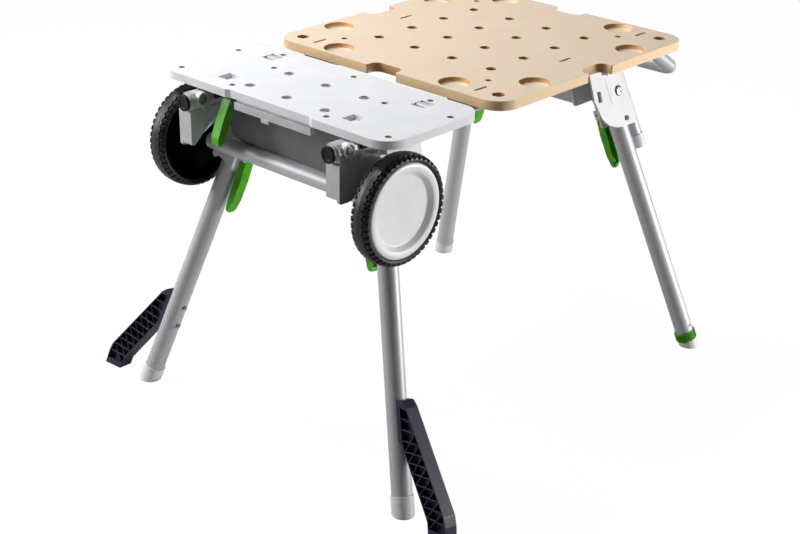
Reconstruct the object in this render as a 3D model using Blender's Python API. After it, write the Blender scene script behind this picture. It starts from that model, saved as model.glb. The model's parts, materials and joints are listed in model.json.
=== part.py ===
# Folding saw stand: a pierced fibre work board and a metal saw platform on a bent
# tube chassis, with four fold-in legs, two outriggers and two transport wheels.
# Metres, +Z up, floor at Z = 0, +Y towards the carrying handle.

import math

import bpy
import bmesh
from mathutils import Matrix, Vector

# Fits between neighbouring pieces
SEAT = 0.0003
RUN = 0.0003

# Facets round a hole, a small pin, a tube and a wheel
HOLE_SIDES = 12
PIN_SIDES = 10
TUBE_SIDES = 12
WHEEL_SIDES = 24

# Work height and board
TABLE_H = 0.670
BOARD_W = 0.580
BOARD_T = 0.018
BOARD_CORNER_R = 0.045
HOLE_D = 0.020
HOLE_PITCH = 0.096
HOLE_COUNT = 4
CORNER_HOLE_D = 0.024
CORNER_HOLE_INSET = 0.040
POCKET_D = 0.060
POCKET_DEPTH = 0.010
POCKET_INSET = 0.038
POCKET_ALONG = 0.148
NOTCH_W = 0.072
NOTCH_DEPTH = 0.026
NOTCH_R = 0.016
SLIT_L = 0.034
SLIT_W = 0.0055
SLIT_X = 0.206
SLIT_Y = 0.247
SADDLE_Y = 0.200

# Saw platform
PLATFORM_W = 0.580
PLATFORM_D = 0.242
PLATFORM_T = 0.015
PLATFORM_R = 0.042
PLATFORM_GAP = 0.044
RECESS_W = 0.212
RECESS_DEPTH = 0.005
PLATFORM_HOLE_BACK = 0.098
FOOT_POCKET = 0.030
FOOT_POCKET_DEPTH = 0.009
FRONT_POCKET_X = 0.159
FRONT_POCKET_Y = -0.522
REAR_POCKET_X = 0.1916
REAR_POCKET_Y = -0.385

# Chassis tube and its handle end
TUBE_D = 0.028
TUBE_WALL = 0.002
TUBE_X = 0.185
TUBE_DROP = 0.004
TUBE_FRONT_Y = -0.606
TUBE_BEND_Y = 0.292
TUBE_BEND_R = 0.060
HANDLE_Y = 0.415
HANDLE_Z = -0.115
HANDLE_R = 0.030
END_CAP_D = 0.031
END_CAP_T = 0.006
END_CAP_PLUG = 0.015
SADDLE_W = 0.046

# Legs and their forks
LEG_D = 0.038
LEG_WALL = 0.002
SPLAY_X = 0.3137
SPLAY_Y = 0.2185
PIVOT_X = 0.178
PIVOT_Z = -0.113
FRONT_PIVOT_Y = -0.471
REAR_PIVOT_Y = 0.187
LEG_STUB = 0.014
FORK_CLEAR = 0.0045
FORK_T = 0.004
FORK_RIM = 0.0008
STOP_GAP = 0.0055
BOLT_D = 0.010
BOLT_HEAD_D = 0.018
BOLT_HEAD_T = 0.0035
FOOT_CAP_D = 0.042
FOOT_CAP_H = 0.045
FOOT_SOLE = 0.020

# Screw foot on the rear right leg
RING_D = 0.045
RING_H = 0.020
PAD_D = 0.040
PAD_H = 0.016
STEM_D = 0.020
STEM_L = 0.050

# Lock levers
LEVER_W = 0.022
LEVER_OUT = 0.0345
LEVER_PIVOT_B = 0.045
LEVER_PIN_B = 0.062
LEVER_PIN_D = 0.008
LEVER_AXLE_D = 0.005
LEVER_WALL = 0.0025
LEVER_TIP_B = 0.168
EAR_T = 0.003

# Parking feet
PARK_D = 0.028
PARK_WALL = 0.002
PARK_CAP_D = 0.031
PARK_CAP_H = 0.028
PARK_TOP_B = -0.046

# Axle beam, wheels and wheel brackets
AXLE_Y = -0.521
AXLE_Z = -0.1365
BEAM_D = 0.032
BEAM_WALL = 0.0025
BEAM_L = 0.430
WHEEL_D = 0.202
RIM_D = 0.172
RIM_WALL = 0.004
DISH_D = 0.142
DISH_DEPTH = 0.010
HUB_D = 0.034
WHEEL_W = 0.040
WHEEL_GAP = 0.0275
TREAD_DEPTH = 0.0035
TREAD_BLOCKS = 36
AXLE_D = 0.012
AXLE_IN_HUB = 0.0215
AXLE_PLUG_L = 0.040
WB_FRONT_Y = -0.604
WB_IN_X = 0.174
WB_OUT_X = 0.206
WB_SKIN = 0.006
WB_BOTTOM_Z = -0.122

# Front web and rail, rear cross member
WEB_HALF_W = 0.170
WEB_T = 0.003
WEB_BACK = 0.0045
WEB_CORNER_R = 0.040
WEB_FLANGE = 0.018
RAIL_HALF_W = 0.098
RAIL_Y = -0.566
RAIL_H = 0.022
RAIL_D = 0.0115
RAIL_STEP = 0.006
RAIL_LEDGE = 0.008
CROSS_Y = 0.1225
CROSS_BOTTOM_Z = -0.131
CROSS_FLANGE = 0.016

# Front release lever and catches
RELEASE_X = -0.122
RELEASE_Y = -0.556
RELEASE_Z = -0.030
RELEASE_W = 0.020
RELEASE_L = 0.082
RELEASE_LEAN = 0.41
RELEASE_PIN_D = 0.006
CATCH_L = 0.012
CATCH_TRAVEL = 0.006

# Outriggers, outline in leg coordinates: out from the leg, down the leg
OUT_T = 0.028
OUT_TOP_B = 0.392
OUT_LEAVE_B = 0.470
OUT_BEND_B = 0.600
OUT_INNER_E = 0.073
OUT_WIDTH = 0.041
OUT_RIB = 0.0022
OUT_EDGE = 0.0040
OUT_RECESS = 0.0060
OUT_BAYS = 9
OUT_SCREW_D = 0.006
OUT_SCREW_B = (0.408, 0.452)

# Dependent places
BOARD_HALF = BOARD_W / 2
TUBE_R = TUBE_D / 2
TUBE_Z = -(BOARD_T + TUBE_DROP + TUBE_R)
LEG_R = LEG_D / 2
BEAM_R = BEAM_D / 2
PLATFORM_BACK_Y = -(BOARD_HALF + PLATFORM_GAP)
PLATFORM_FRONT_Y = PLATFORM_BACK_Y - PLATFORM_D
CENTRE_Y = (AXLE_Y - WHEEL_D / 2 + HANDLE_Y + TUBE_R) / 2
WHEEL_OUT = BEAM_L / 2 + WHEEL_GAP + WHEEL_W
AXLE_L = WHEEL_GAP + AXLE_IN_HUB
FORK_IN = LEG_R + FORK_CLEAR
FORK_OUT = FORK_IN + FORK_T
STOP_IN = LEG_R + STOP_GAP
STOP_OUT = STOP_IN + FORK_T
LEG_STRETCH = math.sqrt(1 + SPLAY_X ** 2 + SPLAY_Y ** 2)
LEG_LEN = (TABLE_H + PIVOT_Z) * LEG_STRETCH
LEAN = math.atan2(SPLAY_Y, math.sqrt(1 + SPLAY_X ** 2))
TILT = math.atan2(SPLAY_X, 1.0)

for old in list(bpy.data.objects):
    bpy.data.objects.remove(old, do_unlink=True)

# Everything hangs on one frame whose origin is the middle of the board's top face
STAND = bpy.data.objects.new("stand", None)
STAND.location = (0, -CENTRE_Y, TABLE_H)
bpy.context.scene.collection.objects.link(STAND)


# Finishes

def finish(name, rgb, rough, metal):
    mat = bpy.data.materials.new(name)
    mat.use_nodes = True
    shader = mat.node_tree.nodes["Principled BSDF"]
    shader.inputs["Base Color"].default_value = (*rgb, 1)
    shader.inputs["Roughness"].default_value = rough
    shader.inputs["Metallic"].default_value = metal
    return mat


WOOD = finish("fibre_board", (0.73, 0.60, 0.43), 0.6, 0)
PLATE_GREY = finish("platform_grey", (0.82, 0.82, 0.83), 0.45, 0)
ALUMINIUM = finish("satin_aluminium", (0.50, 0.50, 0.52), 0.35, 0.9)
CAST_GREY = finish("cast_light_grey", (0.62, 0.63, 0.64), 0.45, 0.2)
SHEET_GREY = finish("sheet_grey", (0.40, 0.41, 0.42), 0.4, 0.6)
BLACK = finish("black_plastic", (0.015, 0.015, 0.017), 0.55, 0)
RUBBER = finish("tyre_rubber", (0.012, 0.012, 0.013), 0.75, 0)
GREEN = finish("green_plastic", (0.10, 0.38, 0.03), 0.4, 0)
FOOT_GREY = finish("foot_grey", (0.55, 0.55, 0.56), 0.6, 0)
RIM_GREY = finish("rim_grey", (0.74, 0.74, 0.75), 0.45, 0)
NAVY = finish("outrigger_navy", (0.012, 0.013, 0.022), 0.5, 0)
STEEL = finish("zinc_steel", (0.60, 0.60, 0.60), 0.3, 1)


# Solid building tools

def add(name, bm, material, location=(0, 0, 0)):
    bmesh.ops.recalc_face_normals(bm, faces=bm.faces)
    mesh = bpy.data.meshes.new(name)
    bm.to_mesh(mesh)
    bm.free()
    mesh.materials.append(material)
    mesh.shade_smooth()
    mesh.set_sharp_from_angle(angle=math.radians(32))
    obj = bpy.data.objects.new(name, mesh)
    bpy.context.scene.collection.objects.link(obj)
    obj.parent = STAND
    obj.location = location
    return obj


def boolean(first, second, operation):
    holders = []
    for bm in (first, second):
        bmesh.ops.recalc_face_normals(bm, faces=bm.faces)
        mesh = bpy.data.meshes.new("blank")
        bm.to_mesh(mesh)
        bm.free()
        holder = bpy.data.objects.new("blank", mesh)
        bpy.context.scene.collection.objects.link(holder)
        holders.append(holder)
    step = holders[0].modifiers.new("step", "BOOLEAN")
    step.operation = operation
    step.object = holders[1]
    step.solver = "EXACT"
    result = bmesh.new()
    result.from_object(holders[0], bpy.context.evaluated_depsgraph_get())
    for holder in holders:
        mesh = holder.data
        bpy.data.objects.remove(holder, do_unlink=True)
        bpy.data.meshes.remove(mesh)
    bmesh.ops.remove_doubles(result, verts=result.verts, dist=0.00001)
    bmesh.ops.dissolve_limit(
        result, angle_limit=0.001, verts=result.verts, edges=result.edges)
    return result


def cut(body, *tools):
    return boolean(body, gather(*tools), "DIFFERENCE")


def join(body, *pieces):
    for piece in pieces:
        body = boolean(body, piece, "UNION")
    return body


def gather(*pieces):
    whole = bmesh.new()
    for piece in pieces:
        mesh = bpy.data.meshes.new("piece")
        piece.to_mesh(mesh)
        piece.free()
        whole.from_mesh(mesh)
        bpy.data.meshes.remove(mesh)
    return whole


def moved(bm, matrix):
    bm.transform(matrix)
    bmesh.ops.recalc_face_normals(bm, faces=bm.faces)
    return bm


def rounded(corners, steps=5):
    # corners are (x, y, radius); each corner becomes an arc
    points = []
    count = len(corners)
    for i in range(count):
        here = Vector(corners[i][:2])
        radius = corners[i][2]
        if radius <= 0:
            points.append(here)
            continue
        back = (Vector(corners[i - 1][:2]) - here).normalized()
        ahead = (Vector(corners[(i + 1) % count][:2]) - here).normalized()
        half = back.angle(ahead) / 2
        middle = here + (back + ahead).normalized() * (radius / math.sin(half))
        start = here + back * (radius / math.tan(half)) - middle
        end = here + ahead * (radius / math.tan(half)) - middle
        sweep = start.angle_signed(end)
        for k in range(steps + 1):
            turn = -sweep * k / steps
            points.append(middle + Matrix.Rotation(turn, 2) @ start)
    return points


def prism(outline, low, high):
    bm = bmesh.new()
    lower = [bm.verts.new((p[0], p[1], low)) for p in outline]
    upper = [bm.verts.new((p[0], p[1], high)) for p in outline]
    bm.faces.new(lower[::-1])
    bm.faces.new(upper)
    for i in range(len(outline)):
        j = (i + 1) % len(outline)
        bm.faces.new((lower[i], lower[j], upper[j], upper[i]))
    return bm


def box(x0, x1, y0, y1, z0, z1):
    return prism([(x0, y0), (x1, y0), (x1, y1), (x0, y1)], z0, z1)


def lathe(profile, segments, closed=True):
    # profile is (radius, height); turned about Z
    bm = bmesh.new()
    rings = []
    for radius, height in profile:
        if radius < 1e-9:
            rings.append([bm.verts.new((0, 0, height))])
            continue
        ring = []
        for k in range(segments):
            a = 2 * math.pi * k / segments
            ring.append(bm.verts.new((radius * math.cos(a), radius * math.sin(a), height)))
        rings.append(ring)
    pairs = len(rings) if closed else len(rings) - 1
    for i in range(pairs):
        one, two = rings[i], rings[(i + 1) % len(rings)]
        for k in range(segments):
            m = (k + 1) % segments
            loop = [one[k % len(one)], one[m % len(one)], two[m % len(two)], two[k % len(two)]]
            face = []
            for vert in loop:
                if vert not in face:
                    face.append(vert)
            if len(face) > 2:
                bm.faces.new(face)
    return bm


def rod(radius, low, high, segments=16):
    return lathe([(0, low), (radius, low), (radius, high), (0, high)], segments, closed=False)


def pipe(outer, inner, low, high, segments=20):
    return lathe([(outer, low), (outer, high), (inner, high), (inner, low)], segments)


ALONG_X = Matrix.Rotation(math.radians(90), 4, "Y")
ALONG_Y = Matrix.Rotation(math.radians(-90), 4, "X")


def at(x, y, z):
    return Matrix.Translation((x, y, z))


# Leg coordinates: X out from the leg fork, Y towards the stand's outside, Z up the leg.
# FORK has its Z in the plane of the fork, LEG leans along the tube itself.
FORK = Matrix.Rotation(-TILT, 4, "Y")
LEG = FORK @ Matrix.Rotation(LEAN, 4, "X")
CORNERS = (
    ("front_left", -1, -1),
    ("front_right", 1, -1),
    ("rear_left", -1, 1),
    ("rear_right", 1, 1),
)


def corner_place(side, end):
    return (side * PIVOT_X, FRONT_PIVOT_Y if end < 0 else REAR_PIVOT_Y, PIVOT_Z)


def corner_turn(side, end):
    return Matrix.Diagonal((side, end, 1, 1))


# Work board: birch plywood with clamp holes, corner holes, round pockets, slits and
# a hand notch in each edge

def make_board():
    half = BOARD_HALF
    r = BOARD_CORNER_R
    outline = rounded([(-half, -half, r), (half, -half, r), (half, half, r), (-half, half, r)], 6)
    board = prism(outline, -BOARD_T, 0)
    below = -BOARD_T - 0.002
    tools = []
    for i in range(HOLE_COUNT):
        for j in range(HOLE_COUNT):
            x = (i - (HOLE_COUNT - 1) / 2) * HOLE_PITCH
            y = (j - (HOLE_COUNT - 1) / 2) * HOLE_PITCH
            tools.append(moved(rod(HOLE_D / 2, below, 0.002, HOLE_SIDES), at(x, y, 0)))
    corner = half - CORNER_HOLE_INSET
    edge = half - POCKET_INSET
    reach = half - NOTCH_DEPTH
    wide = NOTCH_W / 2
    notch = rounded([(half + 0.010, -wide, 0), (half + 0.010, wide, 0), (reach, wide, NOTCH_R),
                     (reach, -wide, NOTCH_R)], 4)
    for quarter in range(4):
        tools.append(moved(prism(notch, below, 0.002), Matrix.Rotation(quarter * math.pi / 2, 4, "Z")))
    for side in (-1, 1):
        for end in (-1, 1):
            tools.append(moved(rod(CORNER_HOLE_D / 2, below, 0.002, HOLE_SIDES),
                               at(side * corner, end * corner, 0)))
            tools.append(moved(rod(POCKET_D / 2, -POCKET_DEPTH, 0.002, 20),
                               at(side * POCKET_ALONG, end * edge, 0)))
            tools.append(moved(rod(POCKET_D / 2, -POCKET_DEPTH, 0.002, 20),
                               at(side * edge, end * POCKET_ALONG, 0)))
        for row in (-1, 0, 1):
            x = side * SLIT_X
            y = row * SLIT_Y
            tools.append(box(x - SLIT_W / 2, x + SLIT_W / 2, y - SLIT_L / 2, y + SLIT_L / 2,
                             below, 0.002))
    add("work_board", cut(board, *tools), WOOD)


make_board()


# Saw platform: light grey plate with clamp holes, foot pockets and a shallow front recess

def make_platform():
    half = PLATFORM_W / 2
    back = PLATFORM_BACK_Y
    front = PLATFORM_FRONT_Y
    step = RECESS_DEPTH
    inner = RECESS_W / 2
    r = PLATFORM_R
    outline = rounded([
        (-half, front, r), (-inner - step, front, step), (-inner + step, front + step, step),
        (inner - step, front + step, step), (inner + step, front, step), (half, front, r),
        (half, back, r), (-half, back, r)], 4)
    plate = prism(outline, -PLATFORM_T, 0)
    below = -PLATFORM_T - 0.002
    tools = []
    for i in (-1, 0, 1):
        for j in (0, 1):
            y = back - PLATFORM_HOLE_BACK - j * HOLE_PITCH
            tools.append(moved(rod(HOLE_D / 2, below, 0.002, HOLE_SIDES), at(i * HOLE_PITCH, y, 0)))
    h = FOOT_POCKET / 2
    for side in (-1, 1):
        for x, y in ((side * FRONT_POCKET_X, FRONT_POCKET_Y), (side * REAR_POCKET_X, REAR_POCKET_Y)):
            tools.append(box(x - h, x + h, y - h, y + h, -FOOT_POCKET_DEPTH, 0.002))
    add("saw_platform", cut(plate, *tools), PLATE_GREY)


make_platform()

# Catches in the rear foot pockets, which draw back into the pocket's rear end
for name, side in (("catch_left", -1), ("catch_right", 1)):
    h = FOOT_POCKET / 2
    rear = h - SEAT - CATCH_TRAVEL
    body = box(-h + SEAT, h - SEAT, rear - CATCH_L, rear, -FOOT_POCKET_DEPTH + SEAT, -0.0006)
    slope = prism([(rear - CATCH_L - 0.001, -0.004), (rear - CATCH_L - 0.001, 0.002),
                   (rear - CATCH_L + 0.006, 0.002)], -h, h)
    slope = moved(slope, Matrix(((0, 0, 1, 0), (1, 0, 0, 0), (0, 1, 0, 0), (0, 0, 0, 1))))
    add(name, cut(body, slope), FOOT_GREY, (side * REAR_POCKET_X, REAR_POCKET_Y, 0))


# Chassis: one bent tube, both arms under the boards, its closed end dropped as a handle

def filleted(points, radii, steps):
    path = [Vector(points[0])]
    for i in range(1, len(points) - 1):
        here = Vector(points[i])
        back = (Vector(points[i - 1]) - here).normalized()
        ahead = (Vector(points[i + 1]) - here).normalized()
        half = back.angle(ahead) / 2
        reach = radii[i - 1] / math.tan(half)
        middle = here + (back + ahead).normalized() * (radii[i - 1] / math.sin(half))
        start = here + back * reach - middle
        end = here + ahead * reach - middle
        sweep = start.angle(end)
        axis = start.cross(end)
        count = max(2, round(steps * sweep / (math.pi / 2)))
        for k in range(count + 1):
            path.append(middle + Matrix.Rotation(sweep * k / count, 3, axis) @ start)
    path.append(Vector(points[-1]))
    return path


def bent_pipe(path, outer, inner, sides):
    bm = bmesh.new()
    up = Vector((0, 0, 1))
    tubes = []
    for i, point in enumerate(path):
        ahead = (path[min(i + 1, len(path) - 1)] - point)
        behind = (point - path[max(i - 1, 0)])
        tangent = (ahead.normalized() + behind.normalized()).normalized()
        across = tangent.cross(up).normalized()
        up = across.cross(tangent).normalized()
        rings = []
        for radius in (outer, inner):
            ring = []
            for k in range(sides):
                a = 2 * math.pi * k / sides
                ring.append(bm.verts.new(point + (across * math.cos(a) + up * math.sin(a)) * radius))
            rings.append(ring)
        tubes.append(rings)
    for i in range(len(path) - 1):
        for layer in (0, 1):
            one, two = tubes[i][layer], tubes[i + 1][layer]
            for k in range(sides):
                m = (k + 1) % sides
                bm.faces.new((one[k], one[m], two[m], two[k]))
    for rings in (tubes[0], tubes[-1]):
        for k in range(sides):
            m = (k + 1) % sides
            bm.faces.new((rings[0][k], rings[0][m], rings[1][m], rings[1][k]))
    return bm


corners = [
    (-TUBE_X, TUBE_FRONT_Y, TUBE_Z), (-TUBE_X, TUBE_BEND_Y, TUBE_Z), (-TUBE_X, HANDLE_Y, HANDLE_Z),
    (TUBE_X, HANDLE_Y, HANDLE_Z), (TUBE_X, TUBE_BEND_Y, TUBE_Z), (TUBE_X, TUBE_FRONT_Y, TUBE_Z)]
bend = filleted(corners, [TUBE_BEND_R, HANDLE_R, HANDLE_R, TUBE_BEND_R], 6)
add("chassis_tube", bent_pipe(bend, TUBE_R, TUBE_R - TUBE_WALL, TUBE_SIDES), ALUMINIUM)

for name, side in (("tube_end_cap_left", -1), ("tube_end_cap_right", 1)):
    inner = TUBE_R - TUBE_WALL - SEAT
    profile = [(0, END_CAP_T), (END_CAP_D / 2 - 0.002, END_CAP_T), (END_CAP_D / 2, END_CAP_T - 0.002),
               (END_CAP_D / 2, 0), (inner, 0), (inner, -END_CAP_PLUG), (0, -END_CAP_PLUG)]
    cap = moved(lathe(profile, TUBE_SIDES, closed=False), Matrix.Rotation(math.radians(90), 4, "X"))
    add(name, cap, BLACK, (side * TUBE_X, TUBE_FRONT_Y - SEAT, TUBE_Z))


# Saddles: moulded blocks that carry board and platform on the tubes

def saddle(y0, y1, top, bottom):
    block = box(-SADDLE_W / 2, SADDLE_W / 2, y0, y1, bottom, top)
    bore = moved(rod(TUBE_R + SEAT, y0 - 0.002, y1 + 0.002, TUBE_SIDES), at(0, 0, TUBE_Z) @ ALONG_Y)
    return cut(block, bore)


for hand, side in (("left", -1), ("right", 1)):
    lap = BOARD_HALF - 0.002
    for end, y0, y1 in (("front", -lap, -SADDLE_Y + 0.012),
                        ("rear", SADDLE_Y - 0.015, SADDLE_Y + 0.045)):
        block = saddle(y0, y1, -BOARD_T - SEAT, TUBE_Z)
        add("board_saddle_" + end + "_" + hand, block, BLACK, (side * TUBE_X, 0, 0))
    for end, y in (("front", PLATFORM_FRONT_Y + 0.037), ("rear", PLATFORM_BACK_Y - 0.027)):
        block = saddle(y - 0.013, y + 0.013, -PLATFORM_T - SEAT, TUBE_Z)
        add("platform_saddle_" + end + "_" + hand, block, BLACK, (side * TUBE_X, 0, 0))


# Leg forks: two cast plates over each leg, a stop wall, a bridge and a cradle for the tube

def fork_plate(e0, e1, front):
    # front is the edge towards the stand's middle, as corners with their radii
    slope = math.tan(LEAN)
    edge = (STOP_OUT + FORK_RIM) / math.cos(LEAN)
    outline = rounded(front + [
        (edge + 0.078 * slope, -0.078, 0.014), (edge - 0.056 * slope, 0.056, 0.004)], 4)
    plate = prism(outline, e0, e1)
    turn = Matrix(((0, 0, 1, 0), (1, 0, 0, 0), (0, 1, 0, 0), (0, 0, 0, 1)))
    return moved(plate, turn)


def cross_bore(radius, e0, e1, segments=PIN_SIDES):
    return moved(rod(radius, e0, e1, segments), ALONG_X)


def fork(side, end):
    outer = fork_plate(FORK_IN, FORK_OUT, [
        (-0.081, 0.056, 0.008), (-0.079, -0.078, 0.036)])
    inner = fork_plate(-FORK_OUT, -FORK_IN, [
        (-0.081, 0.056, 0.008), (-0.081, -0.011, 0.006), (-0.018, -0.011, 0.010), (-0.006, -0.074, 0.006)])
    lap = FORK_IN + FORK_T / 2
    bridge = box(-lap, lap, -0.040, 0.016, 0.044, 0.050)
    lean = Matrix.Rotation(LEAN, 4, "X")
    wall = moved(box(-lap, lap, STOP_IN, STOP_OUT, -0.070, 0.040), lean)
    stop = moved(box(-lap, lap, LEG_R + SEAT, STOP_IN + 0.001, -0.066, -0.044), lean)
    body = join(outer, wall, inner, stop, bridge)
    ears = []
    for s in (-1, 1):
        a0 = LEVER_W / 2 + SEAT
        a1 = a0 + EAR_T
        ear = box(-LEVER_OUT - 0.006, -FORK_OUT + 0.001, min(s * a0, s * a1), max(s * a0, s * a1),
                  -LEVER_PIVOT_B - 0.010, -LEVER_PIVOT_B + 0.010)
        ears.append(moved(ear, lean))
    bosses = [cross_bore(BOLT_HEAD_D / 2, LEG_R + RUN, FORK_IN + FORK_T / 2),
              cross_bore(BOLT_HEAD_D / 2, -FORK_IN - FORK_T / 2, -LEG_R - RUN)]
    body = join(body, *ears, *bosses)
    tools = [cross_bore(BOLT_D / 2 + SEAT, -0.040, 0.040)]
    slot = moved(box(0, 0.040, -0.006, 0.006, -0.011, 0.011), at(0, -0.062, 0))
    tools.append(slot)
    pin_r = LEVER_PIN_D / 2 + 0.0008
    pin_slot = box(-FORK_OUT - 0.002, -FORK_IN + 0.002, -pin_r, pin_r,
                   -LEVER_PIN_B - 0.0115, -LEVER_PIN_B + 0.006)
    tools.append(moved(pin_slot, lean))
    axle = moved(rod(LEVER_AXLE_D / 2 + SEAT, -0.022, 0.022, 8),
                 lean @ at(-LEVER_OUT, 0, -LEVER_PIVOT_B) @ ALONG_Y)
    tools.append(axle)
    body = moved(cut(body, *tools), FORK)
    # the tube's cradle stands level, above the bridge
    x = TUBE_X - PIVOT_X
    z = TUBE_Z - PIVOT_Z
    cradle = box(x - 0.017, x + 0.017, -0.036, 0.014, 0.046, z - 0.004)
    body = join(body, cradle)
    groove = moved(rod(TUBE_R + SEAT, -0.120, 0.120, TUBE_SIDES), at(x, 0, z) @ ALONG_Y)
    if end < 0:
        dy = FRONT_PIVOT_Y - AXLE_Y
        dz = AXLE_Z - PIVOT_Z
        hold = LEG.inverted() @ Vector((0, dy, dz))
        lug = box(-0.016, 0.016, STOP_IN + FORK_T / 2, hold.y - 0.006, hold.z - 0.014, hold.z + 0.014)
        body = join(body, moved(lug, LEG))
        seat = moved(rod(BEAM_R + SEAT, -0.060, 0.060, TUBE_SIDES), at(0, dy, dz) @ ALONG_X)
        body = cut(body, groove, seat)
    else:
        body = cut(body, groove)
    return moved(body, corner_turn(side, end))


for name, side, end in CORNERS:
    add("leg_fork_" + name, fork(side, end), CAST_GREY, corner_place(side, end))


# Hinge bolts, one through each fork and its leg

for name, side, end in CORNERS:
    r = BOLT_D / 2
    head = BOLT_HEAD_D / 2
    reach = FORK_OUT + SEAT
    profile = [(0, -reach - BOLT_HEAD_T), (head, -reach - BOLT_HEAD_T), (head, -reach), (r, -reach),
               (r, reach), (head, reach), (head, reach + BOLT_HEAD_T - 0.001),
               (head - 0.002, reach + BOLT_HEAD_T), (0, reach + BOLT_HEAD_T)]
    bolt = moved(lathe(profile, PIN_SIDES, closed=False), ALONG_X)
    add("hinge_bolt_" + name, moved(bolt, corner_turn(side, end) @ FORK), STEEL, corner_place(side, end))


# Legs: round tubes on their hinge bolts, capped at the floor

def floor_trim(bm):
    # trims a foot to the floor, in leg coordinates
    normal = LEG.to_3x3().inverted() @ Vector((0, 0, 1))
    point = Vector((0, 0, -LEG_LEN))
    geom = bm.verts[:] + bm.edges[:] + bm.faces[:]
    bmesh.ops.bisect_plane(bm, geom=geom, plane_co=point, plane_no=normal, clear_inner=True)
    rim = [edge for edge in bm.edges if edge.is_boundary]
    bmesh.ops.holes_fill(bm, edges=rim)
    return bm


for name, side, end in CORNERS:
    spot = corner_place(side, end)
    turn = corner_turn(side, end) @ LEG
    screw_foot = name == "rear_right"
    foot_end = LEG_LEN - (PAD_H + RING_H / 2 if screw_foot else FOOT_SOLE)
    leg = pipe(LEG_R, LEG_R - LEG_WALL, -foot_end, LEG_STUB, TUBE_SIDES)
    tools = [cross_bore(BOLT_D / 2 + RUN, -0.030, 0.030)]
    if end < 0:
        for b in OUT_SCREW_B:
            tools.append(moved(cross_bore(OUT_SCREW_D / 2 + SEAT, -0.030, 0.030, 8), at(0, 0, -b)))
    leg = cut(leg, *tools)
    add("leg_" + name, moved(leg, turn), ALUMINIUM, spot)
    if not screw_foot:
        r = FOOT_CAP_D / 2
        sock = LEG_R + SEAT
        top = -LEG_LEN + FOOT_CAP_H - 0.012
        profile = [(0, -LEG_LEN - 0.012), (r, -LEG_LEN - 0.012), (r, top - 0.001), (r - 0.001, top),
                   (sock, top), (sock, -foot_end - SEAT), (0, -foot_end - SEAT)]
        cap = floor_trim(lathe(profile, TUBE_SIDES, closed=False))
        add("foot_cap_" + name, moved(cap, turn), FOOT_GREY, spot)

# Screw foot on the rear right leg: a knurled ring captive on the tube's end turns and
# drives the pad's stem up or down
spot = corner_place(1, 1)
turn = LEG
tube_end = LEG_LEN - (PAD_H + RING_H / 2)
ring_low = -LEG_LEN + PAD_H
bore = STEM_D / 2 / math.cos(math.pi / TUBE_SIDES) + RUN
sock = LEG_R / math.cos(math.pi / TUBE_SIDES) + RUN
profile = [(bore, ring_low), (RING_D / 2 - 0.001, ring_low), (RING_D / 2, ring_low + 0.001),
           (RING_D / 2, ring_low + RING_H - 0.001), (RING_D / 2 - 0.001, ring_low + RING_H),
           (sock, ring_low + RING_H), (sock, -tube_end - SEAT), (bore, -tube_end - SEAT)]
add("foot_ring", moved(lathe(profile, TUBE_SIDES), turn), GREEN, spot)
pad_top = ring_low - SEAT
profile = [(0, -LEG_LEN - 0.012), (PAD_D / 2, -LEG_LEN - 0.012), (PAD_D / 2, pad_top - 0.001),
           (PAD_D / 2 - 0.001, pad_top), (STEM_D / 2, pad_top), (STEM_D / 2, pad_top + STEM_L),
           (0, pad_top + STEM_L)]
add("foot_pad", moved(floor_trim(lathe(profile, TUBE_SIDES, closed=False)), turn), FOOT_GREY, spot)


# Lock levers: moulded channels hung on the fork's ears, each with a locking pin

def lever_body():
    b0 = LEVER_PIVOT_B
    tip = LEVER_TIP_B
    o = LEVER_OUT
    side_view = rounded([
        (-o + 0.0020, -b0 + 0.009, 0.002), (-o + 0.0058, -b0 + 0.002, 0), (-o + 0.0065, -b0 - 0.020, 0),
        (-o + 0.0058, -b0 - 0.055, 0), (-o + 0.0030, -tip + 0.030, 0),
        (-o - 0.0010, -tip, 0.002), (-o - 0.0060, -tip, 0.002), (-o - 0.0110, -tip + 0.030, 0.030),
        (-o - 0.0105, -b0 - 0.045, 0.040), (-o - 0.0065, -b0 - 0.010, 0),
        (-o - 0.0065, -b0 + 0.009, 0.004)], 2)
    turn = Matrix(((1, 0, 0, 0), (0, 0, -1, 0), (0, 1, 0, 0), (0, 0, 0, 1)))
    body = moved(prism(side_view, -LEVER_W / 2, LEVER_W / 2), turn)
    w = LEVER_WALL
    hollow = rounded([
        (-o + 0.0200, -b0 - 0.030, 0), (-o - 0.0060 + w, -b0 - 0.030, 0.004),
        (-o - 0.0105 + w, -b0 - 0.048, 0), (-o - 0.0110 + w, -tip + 0.030, 0),
        (-o - 0.0070 + w, -tip + 0.008, 0.003), (-o + 0.0200, -tip + 0.008, 0)], 2)
    inside = moved(prism(hollow, -LEVER_W / 2 + w, LEVER_W / 2 - w), turn)
    body = cut(body, inside)
    half = LEVER_W / 2 + EAR_T + 0.002
    trunnion = moved(rod(LEVER_AXLE_D / 2, -half, half, 8), at(-o, 0, -b0) @ ALONG_Y)
    nose = moved(rod(LEVER_PIN_D / 2, -o, -LEG_R - 2 * RUN, PIN_SIDES), at(0, 0, -LEVER_PIN_B) @ ALONG_X)
    return join(body, trunnion, nose)


for name, side, end in CORNERS:
    spot = Vector(corner_place(side, end))
    shift = corner_turn(side, end).to_3x3() @ (LEG.to_3x3() @ Vector((-LEVER_OUT, 0, -LEVER_PIVOT_B)))
    place = corner_turn(side, end) @ LEG
    back = at(*(-shift))
    add("lock_lever_" + name, moved(lever_body(), back @ place), GREEN, spot + shift)


# Rear cross member: folded sheet between the rear forks

def cross_half_width(z):
    lean_in = FORK_OUT + SEAT + math.sin(TILT) * (z - PIVOT_Z)
    return PIVOT_X - lean_in / math.cos(TILT)


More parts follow.
